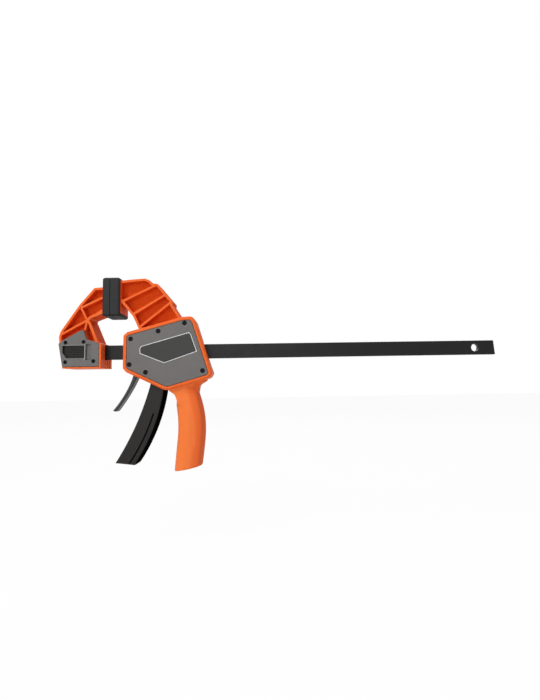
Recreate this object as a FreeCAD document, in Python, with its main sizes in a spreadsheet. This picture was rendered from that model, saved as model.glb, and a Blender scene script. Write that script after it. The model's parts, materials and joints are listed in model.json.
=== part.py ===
"""Quick release bar clamp: a flat steel bar with a fixed jaw at one end and a sliding jaw with
a pistol grip, a squeeze trigger and a release lever.

The origin is on the bar's centre line, below the plane where the two pads meet. +X runs along
the bar to its free end, +Z points from the bar to the jaws' tips, and the covers face -Y.
"""
import FreeCAD, Part
import os
import re
import Sketcher

SIZES = [
    ("overrun", 60, "how far a cut runs past what it cuts"),
    ("fit", 0.1, "gap round a piece that is held fast"),
    ("sliding_fit", 0.35, "gap round a piece that slides or swings"),
    ("pin_fit", 0.05, "gap between a pin and the hole that turns on it"),
    ("bar_length", 512, "steel bar, end to end"),
    ("bar_height", 17, "steel bar, edge to edge"),
    ("bar_thickness", 6, "steel bar, face to face"),
    ("bar_reach", 53.5, "bar's left end, from the clamping plane"),
    ("bar_slant", 1.4, "how far the bar's free end leans from square"),
    ("bar_bevel", 0.8, "bevel of the bar's end edges"),
    ("hole_setback", 26, "centre of the bar's hole in the fixed jaw, from its end"),
    ("free_hole_setback", 24.5, "centre of the bar's other hole, from its free end"),
    ("hole_radius", 4.6, "radius of a bar hole"),
    ("face_gap", 0.3, "gap between the closed pads"),
    ("pad_bottom", 41.9, "pads' lower edge, above the bar's centre line"),
    ("pad_height", 45.5, "height of a pad"),
    ("pad_width", 34, "width of a pad across the bar"),
    ("pad_wall", 2.8, "rubber between the face plate and the outside"),
    ("pad_sole", 3.4, "rubber below the face plate"),
    ("pad_round", 3.4, "rounding of a pad's upright edges away from the other pad"),
    ("pad_edge", 1.6, "bevel of a pad's upper and lower edges"),
    ("fixed_pad_depth", 9.3, "fixed pad, along the bar"),
    ("moving_pad_depth", 11.6, "moving pad, along the bar"),
    ("arm_depth", 25, "ribbed arms, front to back"),
    ("arm_wall", 2.8, "flange round an arm"),
    ("arm_web", 4, "web in the middle of an arm"),
    ("arm_rib", 2.4, "rib across an arm"),
    ("jaw_reach", 59.8, "fixed jaw, left of the clamping plane"),
    ("jaw_depth", 36, "fixed jaw's base, front to back"),
    ("jaw_foot", 18.8, "fixed jaw's underside, below the bar's centre line"),
    ("jaw_strip", 2.2, "strip of the fixed jaw to the right of its cover"),
    ("jaw_bevel", 0.8, "bevel of the fixed jaw's back edge"),
    ("jaw_cover_left", -58, "fixed jaw's cover, left end"),
    ("jaw_cover_width", 47.2, "fixed jaw's cover, left to right"),
    ("jaw_cover_drop", 17.3, "fixed jaw's cover, lower edge below the bar's centre line"),
    ("jaw_cover_height", 42.5, "fixed jaw's cover, bottom to top"),
    ("cover_thickness", 3, "thickness of a cover"),
    ("cover_edge", 0.6, "bevel of a cover's front edge"),
    ("cover_sink", 0.4, "how far a cover lies below its rim"),
    ("cover_ledge", 1.6, "ledge that a cover rests on"),
    ("screw_head", 2.7, "radius of a screw's head in the body cover"),
    ("small_screw_head", 2.2, "radius of a screw's head in the fixed jaw's cover"),
    ("screw_head_height", 1.5, "height of a cover screw's head"),
    ("screw_sink", 0.9, "how far a screw's head lies below the cover's face"),
    ("screw_shank", 1.4, "radius of a cover screw's shank"),
    ("screw_length", 9, "cover screw's shank"),
    ("screw_socket", 1.3, "radius of the socket in a screw's head"),
    ("screw_socket_depth", 1, "depth of the socket in a screw's head"),
    ("boss_radius", 3.4, "radius of a screw boss"),
    ("button_left", -50.5, "rocker's pressed end"),
    ("button_skirt", 2.3, "step of the rocker's pressed end under the cover"),
    ("button_skirt_front", 14.4, "front of that step, in front of the bar's middle"),
    ("button_skirt_back", 8.7, "back of that step, in front of the bar's middle"),
    ("button_right", -28, "right end of the rocker's thumb face"),
    ("button_tail", -22.8, "rocker's other end, below the cover"),
    ("button_half", 7.1, "half the rocker's height"),
    ("button_corner", 4.8, "corner cut off the rocker's lower left"),
    ("button_gap", 2.5, "gap in the cover at the rocker's pressed end, where it swings"),
    ("button_swing", 1.5, "room beside the rocker's step for its swing"),
    ("button_face", 17.3, "rocker's thumb face, in front of the bar's middle"),
    ("button_step", 10, "front of the rocker's tail, in front of the bar's middle"),
    ("button_floor", 7.2, "underside of the rocker, in front of the bar's middle"),
    ("button_rib_depth", 0.7, "depth of the grooves in the thumb face"),
    ("button_rib_width", 0.9, "width of a groove in the thumb face"),
    ("button_rib_pitch", 2.1, "spacing of the grooves in the thumb face"),
    ("rocker_pivot", -41, "rocker's pivot, along the bar"),
    ("rocker_pivot_front", 6.5, "rocker's pivot, in front of the bar's middle"),
    ("rocker_boss", 2.7, "radius of the rocker round its pivot"),
    ("rocker_pin", 1.5, "radius of the rocker's pivot pin"),
    ("rocker_pin_length", 23, "rocker's pivot pin"),
    ("lock_radius", 4.1, "lock pin's radius in the rocker"),
    ("lock_tip", 3.1, "lock pin's radius at its tip"),
    ("lock_depth", 2.6, "how far the lock pin's tip reaches into the bar"),
    ("lock_seat", 9.8, "lock pin's head, in front of the bar's middle"),
    ("scoop_left", -26.6, "finger scoop's deep end beside the rocker"),
    ("scoop_radius", 12, "radius of the finger scoop"),
    ("scoop_depth", 2.3, "depth of the finger scoop"),
    ("scoop_half", 9.3, "half the height of the finger scoop"),
    ("lip_width", 0.8, "raised lip above and below the rocker's window"),
    ("lip_height", 0.4, "how far that lip stands out from the cover"),
    ("foot_groove", 1, "depth of the grooves up the fixed jaw's right side"),
    ("foot_groove_width", 2.2, "width of one of those grooves"),
    ("foot_groove_pitch", 7, "spacing of those grooves"),
    ("button_spring_wire", 0.35, "radius of the button spring's wire"),
    ("button_spring_radius", 1.7, "button spring's mean radius"),
    ("button_spring_place", -48, "button spring, along the bar"),
    ("button_spring_socket", 4, "depth of the rocker's socket for its spring"),
    ("button_shelf", 1.5, "shelf that the button spring stands on"),
    ("button_shelf_end", -45.5, "right end of that shelf, along the bar"),
    ("body_depth", 36, "housing, front to back"),
    ("body_rim", 4.1, "rim of the housing round its cover"),
    ("body_bevel", 1.8, "bevel of the housing's edges"),
    ("back_wall", 3.2, "housing's back wall"),
    ("cover_left", 20.3, "body cover, left end"),
    ("cover_width", 94.4, "body cover, left to right"),
    ("cover_drop", 41.3, "body cover, lowest corner below the bar's centre line"),
    ("cover_height", 77.3, "body cover, bottom to top"),
    ("label_thickness", 0.8, "thickness of the label plate"),
    ("label_sink", 0.5, "how far the label plate lies in the cover"),
    ("label_border", 0.9, "width of the label plate's raised border"),
    ("label_relief", 0.3, "height of the label plate's raised border"),
    ("guide_wall", 1.6, "wall of a bar guide"),
    ("guide_flange", 1.8, "flange of a bar guide inside the housing"),
    ("guide_rim", 3.4, "how far a guide's flange reaches from the bar to either side"),
    ("trigger_width", 22, "trigger, across the bar"),
    ("trigger_cheek", 4.6, "inner face of a trigger cheek, from the middle"),
    ("trigger_top", 13, "top of the trigger's solid part, below the bar's centre line"),
    ("trigger_reach", 132, "trigger's tip, below the bar's centre line"),
    ("trigger_groove", 0.7, "depth of the groove in the trigger's sides"),
    ("trigger_bevel", 1.8, "bevel of the trigger's edges"),
    ("trigger_pivot_height", 18, "trigger's pivot, above the bar's centre line"),
    ("trigger_pin_radius", 2.5, "radius of the trigger's pin"),
    ("trigger_eye", 6.4, "radius of the trigger round its pin"),
    ("nose_radius", 3.3, "radius of the trigger's nose, which pushes the drive plates"),
    ("nose_ahead", 4.5, "trigger's nose, from the pivot along the bar"),
    ("nose_drop", 14, "trigger's nose, below the bar's centre line"),
    ("plate_thickness", 3, "thickness of a drive plate"),
    ("plate_gap", 0.5, "gap between the drive plates, and from them to the trigger"),
    ("plate_drop", 19, "drive plates' lower end, below the bar's centre line"),
    ("plate_rise", 13.5, "drive plates' upper end, above the bar's centre line"),
    ("plate_half", 10.5, "half the width of a drive plate"),
    ("spring_wire", 0.7, "radius of the drive spring's wire"),
    ("spring_radius", 10.5, "drive spring's mean radius"),
    ("washer_thickness", 1.2, "thickness of the drive spring's washer"),
    ("brake_thickness", 3.5, "thickness of the brake plate"),
    ("brake_pivot_height", 16, "brake plate's upper edge, above the bar's centre line"),
    ("brake_blade", 30.5, "brake plate's wide part, from its upper edge down"),
    ("brake_length", 40, "brake plate with its tongue, from its upper edge down"),
    ("brake_half", 9.5, "half the width of the brake plate"),
    ("brake_tongue", 4, "half the width of the brake plate's lower tongue"),
    ("brake_tilt", 8, "brake plate's lean at rest in degrees"),
    ("brake_hole", 18.6, "height of the brake plate's hole"),
    ("brake_seat", 3.5, "height of the notch that holds the brake plate's upper edge"),
    ("brake_spring_wire", 0.45, "radius of the brake spring's wire"),
    ("brake_spring_radius", 3.3, "brake spring's mean radius"),
    ("brake_spring_drop", 14, "brake spring, below the bar's centre line"),
    ("brake_web", 2.4, "thickness of the web behind the brake spring"),
    ("lever_reach", 70, "release lever's tip, below the bar's centre line"),
    ("lever_half", 7, "half the width of the release lever"),
    ("lever_bevel", 1, "bevel of the release lever's edges"),
    ("grip_top", 30, "top of the grip inside the housing, below the bar's centre line"),
    ("grip_length", 113.5, "grip, from its top down to its lowest section"),
    ("grip_trim", 4.5, "how far above that the grip's cut starts at its front"),
    ("grip_panel", 0.7, "depth of the sunk panel at the back of the grip's sides"),
    ("grip_half", 15, "half the grip's width across the bar"),
    ("neck_half", 13.5, "half the width of the web between the grip and the housing, at the front"),
    ("heel_half", 8, "half the width of the web between the grip and the housing, at the back"),
]

# Outlines as shares of a box: first along the bar, then upward. A point with four shares ends an
# arc that passes through its first two.
JAW_COVER_SHARES = [(1, 0), (1, 0.626), (0.932, 0.675), (0.695, 0.746), (0.608, 1), (0.534, 1),
                    (0.085, 0.722), (0, 0.638), (0.102, 0)]
JAW_FOOT_SHARE = 0.105
FIXED_ARM_SHARES = [(0.9, 0.881), (0.666, 0.868), (0.381, 0.638), (0.032, 0.286), (0, 0.213),
                    (0.013, 0.103), (0.765, 0.103), (0.766, 0.135), (0.598, 0.412),
                    (0.59, 0.442, 0.612, 0.459), (0.9, 0.536)]
FIXED_RIB_SHARES = [((0.418, 0.602), (0.88, 0.751)), ((0.054, 0.247), (0.543, 0.431)),
                    ((0.543, 0.431), (0.88, 0.587)), ((0.418, 0.602), (0.543, 0.431)),
                    ((0.5, 0.297), (0.543, 0.431))]
JAW_SCREW_SHARES = [(0.176, 0.666), (0.617, 0.68), (0.18, 0.134), (0.86, 0.153)]
BODY_COVER_SHARES = [(-0.003, 0.3), (0, 0.752), (0.023, 0.778), (0.68, 0.995), (0.775, 1),
                     (0.805, 0.948), (1, 0.198), (0.98, 0.164), (0.511, 0), (0.468, 0.006),
                     (0.021, 0.266)]
BODY_REAR_SHARES = [(-0.003, 0.3), (0, 0.752), (0.023, 0.778), (0.65, 0.988), (0.73, 0.993),
                    (0.752, 0.945), (0.985, 0.198), (0.97, 0.17), (0.511, 0), (0.468, 0.006),
                    (0.021, 0.266)]
BODY_SCREW_SHARES = [(0.05, 0.72), (0.385, 0.833), (0.708, 0.952), (0.036, 0.335), (0.235, 0.216),
                     (0.928, 0.229)]
LABEL_SHARES = [(0.158, 0.571), (0.179, 0.609), (0.764, 0.811), (0.789, 0.776), (0.863, 0.516),
                (0.461, 0.348), (0.164, 0.493)]
LEVER_SLOT_SHARES = [(0.03, -0.1), (0.196, -0.1), (0.196, 0.29), (0.03, 0.29)]
TRIGGER_SLOT_SHARES = [(0.267, 0.27), (0.622, 0.27), (0.622, -0.11), (0.585, -0.27), (0.267, -0.27)]
MOVING_ARM_SHARES = [(0.11, 0.961), (0.341, 0.984), (0.482, 0.992), (0.549, 0.968),
                     (0.589, 0.924), (0.662, 0.918), (0.88, 0.67), (0.876, 0.625),
                     (1.02, 0.416), (0.488, 0.277), (0.4, 0.303), (0.315, 0.478), (0.11, 0.713)]
MOVING_RIB_SHARES = [((0.14, 0.672), (0.63, 0.897)), ((0.321, 0.504), (0.76, 0.759)),
                     ((0.421, 0.336), (0.85, 0.659))]
TRIGGER_SHARES = [(0.437, 0.356, 0.708, 0.773), (0.951, 0.773), (0.777, 0.349, 0.463, 0.026),
                  (0.43, 0.009), (0.097, 0.029)]
FORK_SHARES = [(0.719, 0.773), (0.951, 0.773), (1.11, 0.875), (1.094, 1.136), (0.906, 1.136),
               (0.846, 0.955), (0.74, 0.848)]
GROOVE_SHARES = [(0.727, 0.455), (0.568, 0.242, 0.293, 0), (0.321, 0), (0.594, 0.242, 0.752, 0.455)]
LEVER_SHARES = [(0.743, 0.65), (0.791, 0.764), (0.938, 0.764), (0.943, 0.65), (0.834, 0.557),
                (0.478, 0.231, 0.163, 0.006), (0.049, 0.019), (0.407, 0.265, 0.68, 0.545)]
# Each row: how far down the grip, its left and right edges, and its width.
GRIP_SECTION_SHARES = [
    (0, 0, 0.844, 0.93), (0.166, 0.045, 0.804, 0.9), (0.262, 0.175, 0.872, 0.92),
    (0.396, 0.235, 0.94, 0.97), (0.537, 0.25, 0.962, 1), (0.705, 0.217, 0.936, 1),
    (0.863, 0.182, 0.887, 1), (1, 0.156, 0.852, 0.98)]
GRIP_PANEL_SHARES = [(0.451, 0.129), (0.606, 0.23), (0.606, 0.71), (1.5, 0.71), (1.5, 0.129)]
NECK_SHARES = [(0.5, 0.02), (0.512, -0.068), (0.554, -0.101), (0.581, -0.129), (0.599, -0.19),
               (0.615, -0.269), (0.66, -0.3), (0.7, 0.02)]
HEEL_SHARES = [(0.965, 0.083), (0.909, 0.043), (0.882, 0.023), (0.868, -0.012), (0.866, -0.08),
               (0.8, -0.08), (0.8, 0.12), (0.94, 0.15)]
GRIP_CORNER_SHARE = 0.36
ARC_SHARE = 0.293
SLANT_SHARE = 0.19
CORNER_SLOPE = 1.4
GROOVES = 6
FOOT_GROOVES = 3

doc = FreeCAD.newDocument("bar_clamp")
sheet = doc.addObject("Spreadsheet::Sheet", "Sizes")
ALIASES = set()
NODES = {}


def fill_sheet():
    """Write each size into the sheet, with its meaning beside it."""
    for row, (alias, size, meaning) in enumerate(SIZES, start=1):
        sheet.set(f"A{row}", meaning)
        sheet.set(f"B{row}", str(size))
        sheet.setAlias(f"B{row}", alias)
        ALIASES.add(alias)
    doc.recompute()


def bound(text):
    """Give every alias in an expression the sheet's name."""
    return re.sub(r"[a-z_]+", lambda word: f"Sizes.{word[0]}" if word[0] in ALIASES else word[0], text)


def value(text):
    return float(sheet.evalExpression(bound(text)))


def bind(thing, name, text):
    thing.setExpression(name, bound(text))


def place(thing, x="0", y="0", z="0"):
    """Bind where an object sits."""
    for axis, text in (("x", x), ("y", y), ("z", z)):
        bind(thing, f"Placement.Base.{axis}", text)


def keep(node, thing):
    """Name an object as one of the clamp's pieces."""
    thing.Label = node
    NODES[node] = thing
    return thing


TURN = {
    "side": FreeCAD.Rotation(FreeCAD.Vector(1, 0, 0), 90),
    "plan": FreeCAD.Rotation(),
    "end": FreeCAD.Rotation(FreeCAD.Vector(1, 1, 1), 120),
}
PLANE = {"side": "XZ_Plane", "plan": "XY_Plane", "end": "YZ_Plane"}


def in_box(shares, left, bottom, width, height):
    """Turn shares of a box into the expressions of an outline's points."""
    points = []
    for point in shares:
        texts = []
        for index, share in enumerate(point):
            start, extent = ((left, width), (bottom, height))[index % 2]
            texts.append(f"{start} + {share} * ({extent})")
        points.append(tuple(texts))
    return points


def draw(sketch, points):
    """Draw a closed outline and fix every point by its expressions.

    A point with two expressions ends a straight run, and one with four ends an arc that
    passes through the place its first two give.
    """
    spots = []
    for point in points:
        spots.append([FreeCAD.Vector(value(point[i]), value(point[i + 1]), 0)
                      for i in range(0, len(point), 2)])
    ends = []
    for index, spot in enumerate(spots):
        start = spots[index - 1][-1]
        finish = spot[-1]
        if len(spot) == 1:
            sketch.addGeometry(Part.LineSegment(start, finish), False)
            ends.append((1, 2))
        elif (spot[0] - start).cross(finish - spot[0]).z > 0:
            sketch.addGeometry(Part.Arc(start, spot[0], finish), False)
            ends.append((1, 2))
        else:
            sketch.addGeometry(Part.Arc(finish, spot[0], start), False)
            ends.append((2, 1))
    count = len(points)
    for index in range(count):
        after = (index + 1) % count
        sketch.addConstraint(Sketcher.Constraint("Coincident", index, ends[index][1], after, ends[after][0]))
    for index, point in enumerate(points):
        fix(sketch, index, ends[index][1], point[-2], point[-1])
    for index, point in enumerate(points):
        if len(point) == 4:
            through = sketch.addGeometry(Part.Point(spots[index][0]), True)
            sketch.addConstraint(Sketcher.Constraint("PointOnObject", through, 1, index))
            fix(sketch, through, 1, point[0], point[1])
    return sketch


def fix(sketch, edge, end, across, up):
    """Fix one point of a sketch by two expressions."""
    for kind, text in (("DistanceX", across), ("DistanceY", up)):
        number = sketch.addConstraint(Sketcher.Constraint(kind, -1, 1, edge, end, value(text)))
        bind(sketch, f"Constraints[{number}]", text)


def draw_circle(sketch, across, up, radius):
    """Draw a circle and fix it by its expressions."""
    middle = FreeCAD.Vector(value(across), value(up), 0)
    edge = sketch.addGeometry(Part.Circle(middle, FreeCAD.Vector(0, 0, 1), value(radius)), False)
    number = sketch.addConstraint(Sketcher.Constraint("Radius", edge, value(radius)))
    bind(sketch, f"Constraints[{number}]", radius)
    fix(sketch, edge, 3, across, up)
    return sketch


def outline(name, view, points, at="0"):
    """Draw an outline on a plane seen from the side, in plan or from the end."""
    sketch = doc.addObject("Sketcher::SketchObject", name)
    sketch.Placement = FreeCAD.Placement(FreeCAD.Vector(), TURN[view])
    axis, sign = {"side": ("y", "-1"), "plan": ("z", "1"), "end": ("x", "1")}[view]
    bind(sketch, f"Placement.Base.{axis}", f"{sign} * ({at})")
    return draw(sketch, points)


def grown(name, source, amount, corner="Arc"):
    """An outline moved outward everywhere, or inward where the amount is negative."""
    shape = doc.addObject("Part::Offset2D", name)
    shape.Source = source
    shape.Join = corner
    bind(shape, "Value", amount)
    return shape


def slab(name, source, ahead, behind):
    """Extrude a side outline ahead of its plane, toward the front, and behind it."""
    shape = doc.addObject("Part::Extrusion", name)
    shape.Base = source
    shape.DirMode = "Custom"
    shape.Dir = FreeCAD.Vector(0, -1, 0)
    shape.Solid = True
    bind(shape, "LengthFwd", ahead)
    bind(shape, "LengthRev", behind)
    return shape


def box(name, low, high):
    """A box between two corners, each given by three expressions."""
    shape = doc.addObject("Part::Box", name)
    place(shape, *low)
    for side, start, end in zip(("Length", "Width", "Height"), low, high):
        bind(shape, side, f"({end}) - ({start})")
    return shape


def rod(name, axis, start, radius, length):
    """A cylinder that starts at a point and runs along +X, +Y or +Z."""
    shape = doc.addObject("Part::Cylinder", name)
    turn = {"x": (FreeCAD.Vector(0, 1, 0), 90), "y": (FreeCAD.Vector(1, 0, 0), -90),
            "z": (FreeCAD.Vector(0, 0, 1), 0)}[axis]
    shape.Placement = FreeCAD.Placement(FreeCAD.Vector(), FreeCAD.Rotation(*turn))
    place(shape, *start)
    bind(shape, "Radius", radius)
    bind(shape, "Height", length)
    return shape


def joined(name, shapes):
    shape = doc.addObject("Part::MultiFuse", name)
    shape.Shapes = shapes
    shape.Refine = True
    return shape


def without(name, base, tools):
    """A shape with one or more others cut out of it."""
    shape = doc.addObject("Part::Cut", name)
    shape.Base = base
    shape.Tool = tools[0] if len(tools) == 1 else joined(name + "_tools", tools)
    shape.Refine = True
    return shape


def shared(name, first, second):
    shape = doc.addObject("Part::Common", name)
    shape.Base = first
    shape.Tool = second
    shape.Refine = True
    return shape


def group(name, shapes):
    shape = doc.addObject("Part::Compound", name)
    shape.Links = shapes
    return shape


def new_body(name, base=None):
    """A body, on its own or on top of an object that the booleans made."""
    body = doc.addObject("PartDesign::Body", name)
    if base is not None:
        body.BaseFeature = base
    return body


def body_sketch(body, name, view, at="0"):
    """An empty sketch on one of a body's own planes, moved along the plane's normal."""
    sketch = body.newObject("Sketcher::SketchObject", name)
    plane = next(item for item in body.Origin.OriginFeatures if item.Role == PLANE[view])
    sketch.AttachmentSupport = (plane, [""])
    sketch.MapMode = "FlatFace"
    bind(sketch, "AttachmentOffset.Base.z", at)
    return sketch


def pad(body, name, sketch, length, both_ways=False):
    feature = body.newObject("PartDesign::Pad", name)
    feature.Profile = sketch
    feature.Midplane = both_ways
    bind(feature, "Length", length)
    return feature


def pocket(body, name, sketch, depth, both_ways=False):
    """Cut an outline into the body, against its plane's normal, and check that it cuts."""
    doc.recompute()
    volume = body.Shape.Volume
    feature = body.newObject("PartDesign::Pocket", name)
    feature.Profile = sketch
    feature.Midplane = both_ways
    bind(feature, "Length", depth)
    doc.recompute()
    if feature.Shape.Volume >= volume:
        raise RuntimeError(f"{name} cuts nothing")
    return feature


def dress(body, kind, name, size, chosen):
    """Bevel or round the edges of a body's last feature that pass a test."""
    doc.recompute()
    last = body.Tip
    edges = [f"Edge{number}" for number, edge in enumerate(last.Shape.Edges, start=1) if chosen(edge)]
    feature = body.newObject(f"PartDesign::{kind}", name)
    feature.Base = (last, edges)
    bind(feature, "Size" if kind == "Chamfer" else "Radius", size)
    doc.recompute()
    return feature


def flat_at(edge, axis, place_on_axis):
    """Whether an edge lies wholly at one place on an axis."""
    low = getattr(edge.BoundBox, axis + "Min")
    high = getattr(edge.BoundBox, axis + "Max")
    return abs(low - place_on_axis) < 1e-3 and abs(high - place_on_axis) < 1e-3


def runs_along(edge, axis):
    """Whether an edge is straight and runs along an axis."""
    if edge.Curve.TypeId != "Part::GeomLine":
        return False
    return abs(edge.BoundBox.DiagonalLength - getattr(edge.BoundBox, axis + "Length")) < 1e-6


def rib(name, start, end, depth):
    """A rib of an arm between two points of its middle plane, as deep as the arm."""
    shape = doc.addObject("Part::Box", name)
    run = f"(({end[0]}) - ({start[0]}))"
    rise = f"(({end[1]}) - ({start[1]}))"
    angle = f"atan2({rise}; {run})"
    bind(shape, "Length", f"sqrt({run} * {run} + {rise} * {rise})")
    bind(shape, "Width", depth)
    bind(shape, "Height", "arm_rib")
    shape.Placement = FreeCAD.Placement(FreeCAD.Vector(), FreeCAD.Rotation(FreeCAD.Vector(0, -1, 0), 1))
    bind(shape, "Placement.Rotation.Angle", angle)
    place(shape, f"{start[0]} + sin({angle}) * arm_rib / 2", f"-({depth}) / 2",
          f"{start[1]} - cos({angle}) * arm_rib / 2")
    return shape


def ribbed_arm(name, arm_outline, ribs):
    """An arm with a flange round it, a web in its middle and ribs across it."""
    half = "arm_depth / 2"
    block = slab(name + "_block", arm_outline, half, half)
    inside = slab(name + "_inside", grown(name + "_inner", arm_outline, "-arm_wall", "Intersection"),
                  "arm_depth", "arm_depth")
    flange = without(name + "_flange", block, [inside])
    web = slab(name + "_web", arm_outline, "arm_web / 2", "arm_web / 2")
    bars = [rib(f"{name}_rib_{index}", start, end, "arm_depth") for index, (start, end) in enumerate(ribs)]
    whole = slab(name + "_limit", arm_outline, half, half)
    trimmed = shared(name + "_ribs", whole, joined(name + "_rib_set", bars))
    return [flange, web, trimmed]


# Places that follow the housing's width, and the boxes that the outlines lie in.
PIVOT_X = "(cover_left + 0.505 * cover_width)"
BRAKE_X = "(cover_left + 0.156 * cover_width)"
BRAKE_WEB_X = "(cover_left + 0.216 * cover_width)"
REAR_GUIDE_IN = "(cover_left + 0.852 * cover_width)"
REAR_GUIDE_OUT = "(cover_left + 0.915 * cover_width)"
JAW_BOX = ("jaw_cover_left", "-jaw_cover_drop", "jaw_cover_width", "jaw_cover_height")
FIXED_ARM_BOX = ("-jaw_reach", "0", "jaw_reach", "pad_bottom + pad_height")
BODY_BOX = ("cover_left", "-cover_drop", "cover_width", "cover_height")
MOVING_ARM_BOX = ("0", "0", "cover_left + 0.654 * cover_width", "pad_bottom + pad_height")
TRIGGER_BOX = ("0", "-trigger_reach", PIVOT_X, "trigger_reach")
LEVER_BOX = ("0", "-lever_reach", BRAKE_X, "lever_reach")
GRIP_BOX = ("(cover_left + 0.484 * cover_width)", "-grip_top", "0.477 * cover_width", "-grip_length")

BAR_RIGHT = "(bar_length - bar_reach)"
LOCK_X = "(hole_setback - bar_reach)"
BAR_SIDE = "(bar_thickness / 2 + sliding_fit)"
BAR_EDGE = "(bar_height / 2 + sliding_fit)"
JAW_FRONT = "(jaw_depth / 2 - cover_sink)"
JAW_LEDGE = "(jaw_depth / 2 - cover_sink - cover_thickness)"
BODY_FRONT = "(body_depth / 2 - cover_sink)"
BODY_LEDGE = "(body_depth / 2 - cover_sink - cover_thickness)"
BODY_BACK = "(body_depth / 2 - back_wall)"
NOSE_X = f"({PIVOT_X} + nose_ahead)"
PLATES_X = f"({NOSE_X} + nose_radius + plate_gap)"


def make_bar():
    """The flat steel bar, with a hole near each end."""
    body = new_body("bar_body")
    profile = body_sketch(body, "bar_profile", "side")
    half = "bar_height / 2"
    draw(profile, [("-bar_reach", f"-{half}"), (BAR_RIGHT, f"-{half}"),
                   (f"{BAR_RIGHT} - bar_slant", half), ("-bar_reach", half)])
    pad(body, "bar_pad", profile, "bar_thickness", both_ways=True)
    dress(body, "Chamfer", "bar_bevels", "bar_bevel",
          lambda edge: not runs_along(edge, "X") and not runs_along(edge, "Y"))
    holes = body_sketch(body, "bar_holes", "side")
    draw_circle(holes, LOCK_X, "0", "hole_radius")
    draw_circle(holes, f"{BAR_RIGHT} - free_hole_setback", "0", "hole_radius")
    pocket(body, "bar_hole_pocket", holes, "overrun", both_ways=True)
    keep("bar", body)


def screw_set(node, spots, front, radius):
    """Cover screws at a list of places: a head with a socket, and a shank."""
    screws = []
    face = f"screw_sink - {front}"
    for index, (x, z) in enumerate(spots):
        name = f"{node}_{index}"
        head = rod(name + "_head", "y", (x, face, z), radius, "screw_head_height")
        shank = rod(name + "_shank", "y", (x, face, z), "screw_shank", "screw_head_height + screw_length")
        socket = doc.addObject("Part::Prism", name + "_socket")
        socket.Polygon = 6
        socket.Placement = FreeCAD.Placement(FreeCAD.Vector(), TURN["side"])
        bind(socket, "Circumradius", "screw_socket")
        bind(socket, "Height", "overrun")
        place(socket, x, f"{face} + screw_socket_depth", z)
        screws.append(without(name + "_screw", joined(name + "_whole", [head, shank]), [socket]))
    keep(node, group(node + "_group", screws))


def screw_holes(name, spots, front, radius):
    """What the screws need of a cover: a wide hole for each head and a narrow one right through."""
    holes = []
    seat = f"screw_sink + screw_head_height - {front} - overrun"
    for index, (x, z) in enumerate(spots):
        holes.append(rod(f"{name}_seat_{index}", "y", (x, seat, z), f"{radius} + fit", "overrun"))
        holes.append(rod(f"{name}_hole_{index}", "y", (x, f"-{front}", z), "screw_shank + fit", "overrun"))
    return holes


def pilot_holes(name, spots, ledge):
    """The holes behind a cover that its screws go into."""
    depth = "screw_sink + screw_head_height + screw_length - cover_thickness + fit * 2"
    return [rod(f"{name}_{index}", "y", (x, f"-{ledge} - fit", z), "screw_shank + fit", depth)
            for index, (x, z) in enumerate(spots)]


def face_plate(name, back, front):
    """The plate of a jaw that its rubber pad is pulled over, between two places along the bar."""
    side = "(pad_width / 2 - pad_wall - fit)"
    low = "pad_bottom + pad_sole + fit"
    high = "pad_bottom + pad_height - pad_wall - fit"
    return box(name, (back, f"-{side}", low), (front, side, high))


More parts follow.
